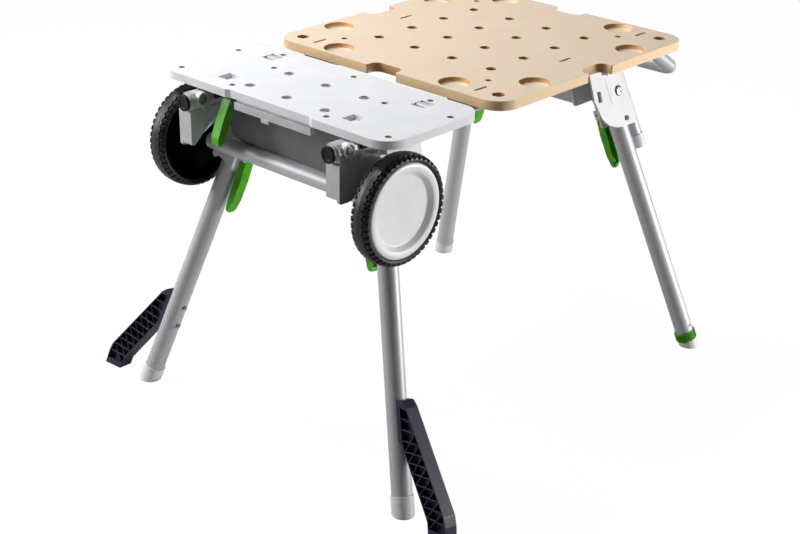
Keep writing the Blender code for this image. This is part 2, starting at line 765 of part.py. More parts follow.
top_z = TUBE_Z - TUBE_R - SEAT
low_z = CROSS_BOTTOM_Z
wide = [(-cross_half_width(low_z), low_z), (cross_half_width(low_z), low_z),
        (cross_half_width(top_z), top_z), (-cross_half_width(top_z), top_z)]
stand_up = Matrix(((1, 0, 0, 0), (0, 0, -1, 0), (0, 1, 0, 0), (0, 0, 0, 1)))
sheet = moved(prism(wide, -WEB_T / 2, WEB_T / 2), stand_up)
flange = cross_half_width(top_z)
lip = box(-flange + 0.002, flange - 0.002, 0, CROSS_FLANGE, top_z - WEB_T, top_z)
sill_half = cross_half_width(low_z + WEB_T)
sill = box(-sill_half + 0.002, sill_half - 0.002, 0, CROSS_FLANGE, low_z, low_z + WEB_T)
add("rear_cross_member", join(sheet, lip, sill), SHEET_GREY, (0, CROSS_Y, 0))


# Parking feet: short capped tubes on the rear forks, level with the wheels

park_out = STOP_OUT + SEAT + PARK_D / 2
lift = LEG.to_3x3() @ Vector((0, park_out, 0))
drop = LEG.to_3x3() @ Vector((0, 0, -1))
park_low = (AXLE_Z - WHEEL_D / 2 - PIVOT_Z - lift.z) / drop.z
park_end = park_low - 0.012
for hand, side in (("left", -1), ("right", 1)):
    spot = corner_place(side, 1)
    turn = corner_turn(side, 1) @ LEG @ at(0, park_out, 0)
    tube = pipe(PARK_D / 2, PARK_D / 2 - PARK_WALL, -park_end, -PARK_TOP_B, TUBE_SIDES)
    add("parking_foot_" + hand, moved(tube, turn), ALUMINIUM, spot)
    r = PARK_CAP_D / 2
    sock = PARK_D / 2 + SEAT
    top = -park_low + PARK_CAP_H
    profile = [(0, -park_low), (r - 0.002, -park_low), (r, -park_low + 0.002), (r, top), (sock, top),
               (sock, -park_end - SEAT), (0, -park_end - SEAT)]
    add("parking_foot_cap_" + hand, moved(lathe(profile, TUBE_SIDES, closed=False), turn), FOOT_GREY, spot)


# Axle beam, with the axle rod centred in it by a collar at each end

beam = moved(pipe(BEAM_R, BEAM_R - BEAM_WALL, -BEAM_L / 2, BEAM_L / 2, TUBE_SIDES), ALONG_X)
add("axle_beam", beam, ALUMINIUM, (0, AXLE_Y, AXLE_Z))

plug = BEAM_R - BEAM_WALL - SEAT
r = AXLE_D / 2
end = BEAM_L / 2
profile = [(0, -end - AXLE_L), (r, -end - AXLE_L), (r, -end), (plug, -end), (plug, -end + AXLE_PLUG_L),
           (r, -end + AXLE_PLUG_L), (r, end - AXLE_PLUG_L), (plug, end - AXLE_PLUG_L), (plug, end),
           (r, end), (r, end + AXLE_L), (0, end + AXLE_L)]
add("wheel_axle", moved(lathe(profile, TUBE_SIDES, closed=False), ALONG_X), STEEL, (0, AXLE_Y, AXLE_Z))


# Wheels: dished rims on the stubs and block-tread tyres

def rim_body():
    r = RIM_D / 2
    w = WHEEL_W / 2
    bore = AXLE_D / 2 + RUN
    blind = BEAM_L / 2 + AXLE_L + SEAT - (WHEEL_OUT - w)
    dish = DISH_D / 2
    hub = HUB_D / 2
    floor = w - DISH_DEPTH
    back = floor - RIM_WALL - 0.001
    profile = [(0, floor), (dish - 0.008, floor), (dish, w - 0.0016), (dish + 0.0075, w - 0.0004),
               (r - 0.002, w - 0.0014), (r, w - 0.0052), (r, -w + 0.004), (r - RIM_WALL, -w + 0.004),
               (r - RIM_WALL, back + 0.001), (hub, back), (hub, -w + 0.0008), (bore, -w + 0.0008),
               (bore, blind), (0, blind)]
    return lathe(profile, WHEEL_SIDES, closed=False)


def tyre_body():
    # every other station stands proud, as a shoulder block
    count = 2 * TREAD_BLOCKS
    inner = (RIM_D / 2 + SEAT) / math.cos(math.pi / count)
    w = WHEEL_W / 2
    outer = WHEEL_D / 2
    base = outer - TREAD_DEPTH
    bm = bmesh.new()
    stations = []
    for i in range(count):
        a = 2 * math.pi * i / count
        crown = base if i % 2 else outer
        shape = [(inner, -w + 0.003), (inner, w - 0.003), (base - 0.003, w), (crown, w - 0.005),
                 (crown, -w + 0.005), (base - 0.003, -w)]
        stations.append([bm.verts.new((r * math.cos(a), r * math.sin(a), x)) for r, x in shape])
    for i in range(count):
        one, two = stations[i], stations[(i + 1) % count]
        for k in range(len(one)):
            m = (k + 1) % len(one)
            bm.faces.new((one[k], one[m], two[m], two[k]))
    return bm


for name, side in (("left", -1), ("right", 1)):
    place = (side * (WHEEL_OUT - WHEEL_W / 2), AXLE_Y, AXLE_Z)
    turn = Matrix.Diagonal((side, 1, 1, 1)) @ ALONG_X
    add("wheel_rim_" + name, moved(rim_body(), turn), RIM_GREY, place)
    add("wheel_tyre_" + name, moved(tyre_body(), turn), RUBBER, place)


# Wheel brackets: castings clamped on the tube ends, with a front bumper face and a fin
# that covers the inside of the wheel

def wheel_bracket(side):
    yf = WB_FRONT_Y
    top = TUBE_Z - TUBE_R - 0.002
    low = WB_BOTTOM_Z
    upright = Matrix(((0, 0, 1, 0), (1, 0, 0, 0), (0, 1, 0, 0), (0, 0, 0, 1)))
    fin = rounded([(yf, low, 0.005), (yf + 0.026, low - 0.001, 0.030), (yf + 0.075, low + 0.024, 0.060),
                   (yf + 0.130, top - 0.028, 0.012), (yf + 0.080, top + 0.001, 0.060),
                   (yf, top, 0.003)], 4)
    gusset = rounded([(yf, low, 0.005), (yf + 0.012, low + 0.008, 0.008), (yf + 0.078, top, 0),
                      (yf, top, 0.003)], 3)
    body = moved(prism(fin, WB_OUT_X - WB_SKIN, WB_OUT_X), upright)
    rib = moved(prism(gusset, WB_IN_X, WB_OUT_X - WB_SKIN + 0.001), upright)
    sleeve = moved(rod(TUBE_R + 0.004, yf + 0.004, yf + 0.052, TUBE_SIDES), at(TUBE_X, 0, TUBE_Z) @ ALONG_Y)
    neck = box(WB_IN_X + 0.003, WB_OUT_X - 0.002, yf + 0.004, yf + 0.052, top - 0.004, TUBE_Z - 0.006)
    lug = moved(rod(0.009, WB_IN_X - 0.007, WB_OUT_X + 0.004, PIN_SIDES),
                at(0, yf + 0.034, TUBE_Z - 0.011) @ ALONG_X)
    body = join(body, rib, sleeve, neck, lug)
    bore = moved(rod(TUBE_R + SEAT, yf - 0.010, yf + 0.080, TUBE_SIDES), at(TUBE_X, 0, TUBE_Z) @ ALONG_Y)
    return moved(cut(body, bore), Matrix.Diagonal((side, 1, 1, 1)))


add("wheel_bracket_left", wheel_bracket(-1), CAST_GREY)
add("wheel_bracket_right", wheel_bracket(1), CAST_GREY)


# Front web between platform and axle beam, and the rail under the platform's front edge

web_low = AXLE_Z + BEAM_R + SEAT - (WEB_BACK - WEB_T / 2) * math.tan(math.pi / TUBE_SIDES)
web_top = -PLATFORM_T - SEAT
outline = rounded([(-WEB_HALF_W, web_low, WEB_CORNER_R), (WEB_HALF_W, web_low, WEB_CORNER_R),
                   (WEB_HALF_W, web_top, 0), (-WEB_HALF_W, web_top, 0)], 6)
web = moved(prism(outline, -WEB_T / 2, WEB_T / 2), stand_up)
lip = box(-WEB_HALF_W, WEB_HALF_W, 0, WEB_FLANGE, web_top - WEB_T, web_top)
slots = []
for side in (-1, 1):
    notch = TUBE_X - TUBE_R - SEAT - 0.006
    slots.append(box(min(side * notch, side * 0.3), max(side * notch, side * 0.3), -0.05, 0.05,
                     TUBE_Z - TUBE_R - 0.010, 0.01))
add("front_web", cut(join(web, lip), *slots), SHEET_GREY, (0, AXLE_Y + WEB_BACK, 0))

section = [(0, web_top - RAIL_H), (RAIL_D, web_top - RAIL_H), (RAIL_D, web_top), (RAIL_STEP, web_top),
           (RAIL_STEP, web_top - RAIL_LEDGE), (0, web_top - RAIL_LEDGE)]
lengthways = Matrix(((0, 0, 1, 0), (1, 0, 0, 0), (0, 1, 0, 0), (0, 0, 0, 1)))
rail = moved(prism(section, -RAIL_HALF_W, RAIL_HALF_W), lengthways)
add("front_rail", rail, CAST_GREY, (0, RAIL_Y, 0))


# Release lever at the front left, on a two-eared mount under the platform

ear_gap = RELEASE_W / 2 + SEAT
mount = box(-ear_gap - EAR_T, ear_gap + EAR_T, -0.010, 0.012, web_top - RELEASE_Z - 0.0025,
            web_top - RELEASE_Z)
ears = []
for s in (-1, 1):
    x0, x1 = sorted((s * ear_gap, s * (ear_gap + EAR_T)))
    ears.append(box(x0, x1, -0.008, 0.010, -0.007, web_top - RELEASE_Z - 0.001))
mount = join(mount, *ears)
pin_bore = moved(rod(RELEASE_PIN_D / 2 + SEAT, -0.040, 0.040, PIN_SIDES), ALONG_X)
add("release_mount", cut(mount, pin_bore), SHEET_GREY, (RELEASE_X, RELEASE_Y, RELEASE_Z))
half = ear_gap + EAR_T + 0.002
pin = moved(rod(RELEASE_PIN_D / 2, -half, half, PIN_SIDES), ALONG_X)
add("release_pin", pin, STEEL, (RELEASE_X, RELEASE_Y, RELEASE_Z))

side_view = rounded([(0.0075, 0.0075, 0.006), (0.0085, -0.030, 0.030), (0.0060, -RELEASE_L + 0.012, 0.020),
                     (0.0040, -RELEASE_L, 0.003), (-0.0040, -RELEASE_L - 0.002, 0.003),
                     (-0.0100, -RELEASE_L + 0.010, 0.012), (-0.0105, -0.035, 0.030),
                     (-0.0075, 0.0075, 0.006)], 3)
lever = moved(prism(side_view, -RELEASE_W / 2, RELEASE_W / 2), lengthways)
w = RELEASE_W / 2 - LEVER_WALL
hollow = box(-w, w, -0.0065, 0.0200, -RELEASE_L + 0.008, -0.016)
bore = moved(rod(RELEASE_PIN_D / 2 + RUN, -0.040, 0.040, PIN_SIDES), ALONG_X)
lever = moved(cut(lever, hollow, bore), Matrix.Rotation(-RELEASE_LEAN, 4, "X"))
add("release_lever", lever, GREEN, (RELEASE_X, RELEASE_Y, RELEASE_Z))


# Outriggers: ribbed mouldings screwed to the outside of the front legs, down to the floor

def outrigger_edges():
    # inner and outer edge as (out, down) points, top to floor
    saddle_e = LEG_R * 0.63
    inner = [(saddle_e, OUT_TOP_B), (saddle_e, OUT_LEAVE_B - 0.006), (LEG_R + 0.002, OUT_LEAVE_B),
             (OUT_INNER_E, OUT_BEND_B), (OUT_INNER_E - 0.001, OUT_BEND_B + 0.060)]
    outer = [(LEG_R + 0.010, OUT_TOP_B), (LEG_R + 0.019, OUT_TOP_B + 0.012),
             (OUT_INNER_E + OUT_WIDTH, OUT_BEND_B - 0.012),
             (OUT_INNER_E + OUT_WIDTH + 0.002, OUT_BEND_B + 0.006),
             (OUT_INNER_E + OUT_WIDTH - 0.001, OUT_BEND_B + 0.060)]
    return inner, outer


def along(points, share):
    total = sum((Vector(points[i + 1]) - Vector(points[i])).length for i in range(len(points) - 1))
    left = share * total
    for i in range(len(points) - 1):
        one, two = Vector(points[i]), Vector(points[i + 1])
        step = (two - one).length
        if left <= step or i == len(points) - 2:
            return one + (two - one) * (left / step)
        left -= step


def triangle_inset(points, gap):
    middle = sum(points, Vector((0, 0))) / len(points)
    result = []
    count = len(points)
    for i in range(count):
        here = points[i]
        back = (points[i - 1] - here).normalized()
        ahead = (points[(i + 1) % count] - here).normalized()
        spread = back.angle(ahead) / 2
        result.append(here + (back + ahead).normalized() * min(gap / math.sin(spread),
                                                             0.8 * (middle - here).length))
    return result


def outrigger(side):
    inner, outer = outrigger_edges()
    down = Matrix(((1, 0, 0, 0), (0, 0, 1, 0), (0, -1, 0, 0), (0, 0, 0, 1)))
    ring = outer + inner[::-1]
    corner_r = [0.004, 0.008, 0.020, 0.015, 0.002, 0.002, 0.015, 0.004, 0.002, 0.003]
    outline = rounded([(c[0], c[1], r) for c, r in zip(ring, corner_r)], 3)
    body = moved(prism(outline, -OUT_T / 2, OUT_T / 2), down)
    hug = rod(LEG_R + SEAT, -0.700, -0.300, TUBE_SIDES)
    holes = []
    for b in OUT_SCREW_B:
        holes.append(moved(cross_bore(OUT_SCREW_D / 2 + SEAT, 0, 0.036, 8), at(0, 0, -b)))
    body = cut(body, hug)
    # open bays on both faces, split by a zigzag of ribs
    inner_line = [Vector((LEG_R + 0.004, OUT_TOP_B + 0.004)), Vector((LEG_R + 0.004, OUT_LEAVE_B)),
                  Vector((OUT_INNER_E, OUT_BEND_B)), Vector((OUT_INNER_E, OUT_BEND_B + 0.016))]
    outer_line = [Vector(outer[1]), Vector(outer[2]), Vector(outer[3]),
                  Vector((outer[3][0] - 0.001, OUT_BEND_B + 0.028))]
    bays = []
    for k in range(1, OUT_BAYS):
        s0 = 0.04 + 0.96 * k / OUT_BAYS
        s1 = 0.04 + 0.96 * (k + 1) / OUT_BAYS if k < OUT_BAYS - 1 else 0.985
        quad = [along(inner_line, s0), along(outer_line, s0), along(outer_line, s1), along(inner_line, s1)]
        inward0 = (quad[1] - quad[0]).normalized() * OUT_EDGE
        inward1 = (quad[2] - quad[3]).normalized() * OUT_EDGE
        quad = [quad[0] + inward0, quad[1] - inward0, quad[2] - inward1, quad[3] + inward1]
        if k % 2:
            halves = ([quad[0], quad[1], quad[2]], [quad[0], quad[2], quad[3]])
        else:
            halves = ([quad[0], quad[1], quad[3]], [quad[1], quad[2], quad[3]])
        for tri in halves:
            shape = triangle_inset(tri, OUT_RIB / 2)
            for low, high in ((-OUT_T / 2 - 0.002, -OUT_T / 2 + OUT_RECESS),
                              (OUT_T / 2 - OUT_RECESS, OUT_T / 2 + 0.002)):
                bays.append(moved(prism(shape, low, high), down))
    body = cut(body, *bays)
    body = cut(body, *holes)
    body = floor_trim(body)
    return moved(body, corner_turn(side, -1) @ LEG)


for name, side in (("left", -1), ("right", 1)):
    spot = corner_place(side, -1)
    turn = corner_turn(side, -1) @ LEG
    add("outrigger_" + name, outrigger(side), NAVY, spot)
    for place, b in zip(("upper", "lower"), OUT_SCREW_B):
        r = OUT_SCREW_D / 2
        reach = LEG_R + SEAT
        profile = [(0, -reach - 0.003), (0.0045, -reach - 0.003), (0.0055, -reach - 0.001), (0.0055, -reach),
                   (r, -reach), (r, LEG_R + 0.012), (0, LEG_R + 0.012)]
        screw = moved(lathe(profile, 8, closed=False), at(0, 0, -b) @ ALONG_X)
        add("outrigger_bolt_" + place + "_" + name, moved(screw, turn), STEEL, spot)
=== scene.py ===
import json
import math

import bmesh
import bpy
from mathutils import Matrix, Vector

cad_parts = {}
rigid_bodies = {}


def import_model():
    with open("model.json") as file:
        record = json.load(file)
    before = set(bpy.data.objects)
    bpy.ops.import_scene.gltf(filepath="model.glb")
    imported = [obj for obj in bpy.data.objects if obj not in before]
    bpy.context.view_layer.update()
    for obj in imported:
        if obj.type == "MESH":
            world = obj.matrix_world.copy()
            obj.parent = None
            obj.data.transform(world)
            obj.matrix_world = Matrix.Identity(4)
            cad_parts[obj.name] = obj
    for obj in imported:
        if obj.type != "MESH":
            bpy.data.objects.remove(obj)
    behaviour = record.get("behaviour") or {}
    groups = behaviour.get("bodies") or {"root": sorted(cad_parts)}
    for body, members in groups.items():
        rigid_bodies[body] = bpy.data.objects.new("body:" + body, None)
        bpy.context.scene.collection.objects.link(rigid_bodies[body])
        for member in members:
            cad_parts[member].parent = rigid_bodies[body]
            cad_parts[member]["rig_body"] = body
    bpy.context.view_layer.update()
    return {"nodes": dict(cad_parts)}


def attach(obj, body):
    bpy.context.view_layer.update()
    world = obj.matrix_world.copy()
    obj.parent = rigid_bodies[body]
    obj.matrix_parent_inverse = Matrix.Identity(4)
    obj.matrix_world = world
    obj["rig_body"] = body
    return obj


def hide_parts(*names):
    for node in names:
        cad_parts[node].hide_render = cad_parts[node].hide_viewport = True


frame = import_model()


# Studio: the camera stands to the front right and looks down on the board, and soft
# boxes light the stand from both sides and from above.
# Floor and surroundings are white; the floor keeps a faint contact shadow.

WHITE = (1, 1, 1, 1)
FILL_STRENGTH = 0.06
FLOOR_GREY = (0.52, 0.52, 0.52, 1)
FLOOR_HALF = 9.0
FLOOR_GLOW = 1.05
FLOOR_GLOW_SHARE = 0.93

scene = bpy.context.scene
scene.view_settings.view_transform = "Standard"


def new_object(name, data):
    obj = bpy.data.objects.new(name, data)
    scene.collection.objects.link(obj)
    return obj


def soft_box(name, place, aim, width, height, watts):
    lamp = bpy.data.lights.new(name, "AREA")
    lamp.shape = "RECTANGLE"
    lamp.size = width
    lamp.size_y = height
    lamp.energy = watts
    holder = new_object(name, lamp)
    holder.location = place
    holder.rotation_euler = (Vector(aim) - Vector(place)).to_track_quat("-Z", "Y").to_euler()


def as_mesh(bm, name):
    mesh = bpy.data.meshes.new(name)
    bm.to_mesh(mesh)
    bm.free()
    return mesh


def feed(tree, node, values):
    # fills a node's inputs, each with a plain value or with another node's output
    for key, value in values.items():
        if isinstance(value, bpy.types.NodeSocket):
            tree.links.new(value, node.inputs[key])
        else:
            node.inputs[key].default_value = value
    return node


def add_node(tree, kind, values={}, **settings):
    node = tree.nodes.new(kind)
    for key, value in settings.items():
        setattr(node, key, value)
    return feed(tree, node, values)


def maths(tree, operation, *values):
    node = add_node(tree, "ShaderNodeMath", dict(enumerate(values)), operation=operation)
    return node.outputs["Value"]


def new_material(name):
    mat = bpy.data.materials.new(name)
    mat.use_nodes = True
    return mat, mat.node_tree


camera = new_object("camera", bpy.data.cameras.new("camera"))
camera.data.sensor_width = 36.0
camera.data.lens = 70.135
camera.matrix_world = Matrix((
    (0.730408, -0.296554, 0.615272, 1.91288),
    (0.682844, 0.297125, -0.667414, -2.20729),
    (0.015112, 0.907619, 0.419522, 1.54877),
    (0.0, 0.0, 0.0, 1.0)))
scene.camera = camera

soft_box("left_soft_box", (-2.2, -2.0, 1.6), (0, -0.1, 0.50), 1.1, 1.6, 66)
soft_box("right_soft_box", (2.2, 1.7, 0.42), (0, 0.0, 0.42), 1.1, 0.75, 64)
soft_box("top_soft_box", (-1.1, -0.4, 2.9), (0, 0, 0.6), 1.0, 1.0, 62)

world = bpy.data.worlds.new("studio")
scene.world = world
world.use_nodes = True
tree = world.node_tree
fill_light = feed(tree, tree.nodes["Background"], {"Color": WHITE, "Strength": FILL_STRENGTH})
white_wall = add_node(tree, "ShaderNodeBackground", {"Color": WHITE, "Strength": 1.0})
seen = add_node(tree, "ShaderNodeLightPath")
choice = add_node(tree, "ShaderNodeMixShader", {
    "Fac": seen.outputs["Is Camera Ray"],
    1: fill_light.outputs["Background"], 2: white_wall.outputs["Background"]})
feed(tree, tree.nodes["World Output"], {"Surface": choice.outputs["Shader"]})

floor_paint, tree = new_material("floor_paint")
painted = feed(tree, tree.nodes["Principled BSDF"], {
    "Base Color": FLOOR_GREY, "Roughness": 0.9, "Specular IOR Level": 0.1})
bright = add_node(tree, "ShaderNodeEmission", {"Strength": FLOOR_GLOW})
seen = add_node(tree, "ShaderNodeLightPath")
choice = add_node(tree, "ShaderNodeMixShader", {
    "Fac": maths(tree, "MULTIPLY", seen.outputs["Is Camera Ray"], FLOOR_GLOW_SHARE),
    1: painted.outputs["BSDF"], 2: bright.outputs["Emission"]})
feed(tree, tree.nodes["Material Output"], {"Surface": choice.outputs["Shader"]})
bm = bmesh.new()
bmesh.ops.create_grid(bm, x_segments=2, y_segments=2, size=FLOOR_HALF)
mesh = as_mesh(bm, "floor")
mesh.materials.append(floor_paint)
floor = new_object("floor", mesh)


# Chassis tube: one length of satin anodised aluminium tube, bent to a long U.
# Both arms run under the boards, and the closed end drops behind the board as the
# carrying handle.

BOARD_Y = 0.0965
BOARD_Z = 0.670
BOARD_TOP = Matrix.Translation((0, BOARD_Y, BOARD_Z))
TUBE_R = 0.014
TUBE_X = 0.185
TUBE_Z = -0.036
TUBE_FRONT_Y = -0.606
DROP_Y = 0.292
HANDLE_Y = 0.415
HANDLE_Z = -0.115
DROP_BEND_R = 0.060
HANDLE_BEND_R = 0.030
EDGE_WIDTH = 0.0012


def tint(red, green, blue):
    # a colour given as it looks on a screen, 0 to 255
    shown = []
    for part in (red, green, blue):
        level = part / 255
        shown.append(level / 12.92 if level <= 0.04045 else ((level + 0.055) / 1.055) ** 2.4)
    return (*shown, 1)


def node_group(name, kind, given, made):
    # a group of nodes with its named inputs and outputs, each as name: type
    group = bpy.data.node_groups.new(name, kind)
    for way, rows in (("INPUT", given), ("OUTPUT", made)):
        for label, value in rows.items():
            group.interface.new_socket(label, in_out=way, socket_type="NodeSocket" + value)
    inside = group.nodes.new("NodeGroupInput")
    return group, inside.outputs, group.nodes.new("NodeGroupOutput")


def in_range(tree, value, from_low, from_high, to_low=0.0, to_high=1.0):
    return add_node(tree, "ShaderNodeMapRange", {
        "Value": value, "From Min": from_low, "From Max": from_high,
        "To Min": to_low, "To Max": to_high}).outputs["Result"]


def mixed(tree, share, first, second):
    # two colours mixed; the share is the second one's
    values = {0: share, 6: first, 7: second}
    return add_node(tree, "ShaderNodeMix", values, data_type="RGBA").outputs[2]


def surface_grain():
    # broad patches, a fine grain and a height for bump, from any coordinates
    group, given, made = node_group(
        "surface_grain", "ShaderNodeTree",
        {"Place": "Vector", "Patch Scale": "Float", "Grain Scale": "Float"},
        {"Patches": "Float", "Grain": "Float", "Height": "Float"})
    broad = add_node(group, "ShaderNodeTexNoise", {
        "Vector": given["Place"], "Scale": given["Patch Scale"], "Detail": 3}).outputs["Fac"]
    fine = add_node(group, "ShaderNodeTexNoise", {
        "Vector": given["Place"], "Scale": given["Grain Scale"], "Detail": 5,
        "Roughness": 0.65}).outputs["Fac"]
    height = maths(group, "MULTIPLY_ADD", broad, 0.25, fine)
    feed(group, made, {"Patches": broad, "Grain": fine, "Height": height})
    return group


def rubbed_edges():
    # a mask that rises where faces meet in an outside or inside edge, used to paint a highlight
    # along them
    group, given, made = node_group(
        "rubbed_edges", "ShaderNodeTree", {"Width": "Float", "Breakup": "Float"},
        {"Edge": "Float"})
    soft = add_node(group, "ShaderNodeBevel", {"Radius": given["Width"]}, samples=4)
    true = add_node(group, "ShaderNodeNewGeometry")
    facing = add_node(group, "ShaderNodeVectorMath", {
        0: soft.outputs["Normal"], 1: true.outputs["Normal"]}, operation="DOT_PRODUCT")
    bent = in_range(group, facing.outputs["Value"], 0.985, 0.80)
    feed(group, made, {"Edge": maths(group, "MULTIPLY", bent, given["Breakup"])})
    return group


GRAIN = surface_grain()
EDGE_HIGHLIGHTS = rubbed_edges()


def grain_marks(tree, place, patch, grain):
    return add_node(tree, "ShaderNodeGroup", {
        "Place": place, "Patch Scale": patch, "Grain Scale": grain}, node_tree=GRAIN).outputs


def coat(tree, colour, roughness, height, rise):
    # gives the shader its colour, its roughness and the bump of its grain
    bump = add_node(tree, "ShaderNodeBump", {"Strength": 1.0, "Distance": rise, "Height": height})
    return feed(tree, tree.nodes["Principled BSDF"], {
        "Base Color": colour, "Roughness": roughness, "Normal": bump.outputs["Normal"]})


def lathe_place(tree):
    return add_node(tree, "ShaderNodeAttribute", attribute_name="local_place").outputs["Vector"]


def material(name, light, dark, rough, patch, grain, rise, metal=0.0, spread=0.08, gloss=0.5,
             edge=None, local=False, stretch=(1, 1, 1)):
    # light and dark are the two ends of the patchy colour, patch and grain the scales of
    # its marks, rise the height of the grain and spread the reach of the roughness; edge is a
    # lighter colour painted along edges as a highlight
    mat, tree = new_material(name)
    where = lathe_place(tree) if local else add_node(tree, "ShaderNodeTexCoord").outputs["Object"]
    turn = add_node(tree, "ShaderNodeMapping", {"Vector": where, "Scale": stretch})
    marks = grain_marks(tree, turn.outputs["Vector"], patch, grain)
    share = in_range(tree, marks["Patches"], 0.36, 0.64)
    colour = mixed(tree, share, tint(*dark), tint(*light))
    # edges take the lighter edge colour: a painted highlight along them
    if edge:
        rub = add_node(tree, "ShaderNodeGroup", {
            "Width": EDGE_WIDTH, "Breakup": marks["Grain"]}, node_tree=EDGE_HIGHLIGHTS)
        colour = mixed(tree, rub.outputs["Edge"], colour, tint(*edge))
    roughness = in_range(tree, marks["Grain"], 0.3, 0.7, rough - spread, rough + spread)
    shader = coat(tree, colour, roughness, marks["Height"], rise)
    feed(tree, shader, {"Metallic": metal, "Specular IOR Level": gloss})
    return mat


def piece(name, mesh, finish, body, slot, *stands_for):
    mesh.materials.clear()
    mesh.materials.append(finish)
    obj = new_object(name, mesh)
    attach(obj, body)
    if stands_for:
        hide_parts(*stands_for)


def evaluated(holder):
    # what an object's modifiers make of it, as a plain mesh; the holder is removed
    seen = holder.evaluated_get(bpy.context.evaluated_depsgraph_get())
    shape = bpy.data.meshes.new_from_object(seen)
    old = holder.data
    bpy.data.objects.remove(holder, do_unlink=True)
    bpy.data.meshes.remove(old)
    return shape


def made_by(tree, mesh, **values):
    # runs a geometry tree over a mesh, with the tree's inputs given by name
    holder = new_object("making", mesh)
    step = holder.modifiers.new("making", "NODES")
    step.node_group = tree
    for socket in tree.interface.items_tree:
        if socket.item_type == "SOCKET" and socket.in_out == "INPUT":
            key = socket.name.lower().replace(" ", "_")
            if key in values:
                step[socket.identifier] = values[key]
    return evaluated(holder)


def stored(tree, shape, name, kind, value):
    return add_node(tree, "GeometryNodeStoreNamedAttribute", {
        "Geometry": shape, "Name": name, "Value": value}, data_type=kind).outputs["Geometry"]


def recalled(tree, name, kind):
    node = add_node(tree, "GeometryNodeInputNamedAttribute", {"Name": name}, data_type=kind)
    return node.outputs["Attribute"]


def end_tree(tree, made, name, shape, finish):
    # the end of each tree: its copies are made real and take the finish
    real = add_node(tree, "GeometryNodeRealizeInstances", {"Geometry": shape})
    paint = add_node(tree, "GeometryNodeSetMaterial", {
        "Geometry": real.outputs["Geometry"], "Material": finish})
    feed(tree, made, {name: paint.outputs["Geometry"]})
    return tree


def bent_tube_tree():
    # a round bar along a path; each point keeps its place across and along the bar
    tree, given, made = node_group(
        "bent_tube", "GeometryNodeTree",
        {"Path": "Geometry", "Radius": "Float", "Sides": "Int", "Finish": "Material"},
        {"Tube": "Geometry"})
    curve = add_node(tree, "GeometryNodeMeshToCurve", {"Mesh": given["Path"]}).outputs["Curve"]
    run = add_node(tree, "GeometryNodeSplineParameter").outputs["Length"]
    ring = add_node(tree, "GeometryNodeCurvePrimitiveCircle", {
        "Resolution": given["Sides"], "Radius": given["Radius"]}).outputs["Curve"]
    spot = add_node(tree, "GeometryNodeInputPosition").outputs["Position"]
    sweep = add_node(tree, "GeometryNodeCurveToMesh", {
        "Curve": stored(tree, curve, "run", "FLOAT", run),
        "Profile Curve": stored(tree, ring, "ring", "FLOAT_VECTOR", spot), "Fill Caps": True})
    across = add_node(tree, "ShaderNodeSeparateXYZ", {
        "Vector": recalled(tree, "ring", "FLOAT_VECTOR")}).outputs
    whole = add_node(tree, "ShaderNodeCombineXYZ", {
        "X": across["X"], "Y": across["Y"], "Z": recalled(tree, "run", "FLOAT")})
    marked = stored(tree, sweep.outputs["Mesh"], "local_place", "FLOAT_VECTOR",
                    whole.outputs["Vector"])
    return end_tree(tree, made, "Tube", marked, given["Finish"])


def bent_path(points, radii, steps):
    path = [Vector(points[0])]
    for i in range(1, len(points) - 1):
        here = Vector(points[i])
        back = (Vector(points[i - 1]) - here).normalized()
        ahead = (Vector(points[i + 1]) - here).normalized()
        half = back.angle(ahead) / 2
        reach = radii[i - 1] / math.tan(half)
        middle = here + (back + ahead).normalized() * (radii[i - 1] / math.sin(half))
        start = here + back * reach - middle
        end = here + ahead * reach - middle
        for k in range(steps + 1):
            turn = Matrix.Rotation(start.angle(end) * k / steps, 3, start.cross(end))
            path.append(middle + turn @ start)
    path.append(Vector(points[-1]))
    return path


def smooth(mesh, degrees=35):
    mesh.shade_smooth()
    mesh.set_sharp_from_angle(angle=math.radians(degrees))
    return mesh


def swept(place, corners, bends, steps, radius, sides, finish):
    # a round bar bent along a line of corners
    path = bent_path(corners, bends, steps)
    mesh = bpy.data.meshes.new("path")
    mesh.from_pydata([place @ p for p in path], [(i, i + 1) for i in range(len(path) - 1)], [])
    return smooth(made_by(BENT_TUBE, mesh, radius=radius, sides=sides, finish=finish))


BENT_TUBE = bent_tube_tree()
ALUMINIUM = material("satin_anodised_tube", (196, 197, 200), (184, 185, 188), rough=0.48, patch=26,
                     grain=900, rise=0.000005, metal=0.28, spread=0.05, local=True,
                     stretch=(1, 1, 0.012))
arm = [(TUBE_FRONT_Y, TUBE_Z), (DROP_Y, TUBE_Z), (HANDLE_Y, HANDLE_Z)]
corners = [(-TUBE_X, y, z) for y, z in arm] + [(TUBE_X, y, z) for y, z in arm[::-1]]
bends = [DROP_BEND_R, HANDLE_BEND_R, HANDLE_BEND_R, DROP_BEND_R]
tube = swept(BOARD_TOP, corners, bends, 14, TUBE_R, 40, ALUMINIUM)
piece("bent_chassis_tube", tube, ALUMINIUM, "frame", "satin_aluminium", "chassis_tube")


# Tube end caps: turned black plastic plugs in the two open front ends, each with a
# rounded rim and a shallow dished face.

HANDS = (("left", -1), ("right", 1))
# the clearance between pieces that are seated on each other
GAP = 0.0003


def at(x, y, z):
    # a place measured from the middle of the board's top
    return BOARD_TOP @ Matrix.Translation((x, y, z))


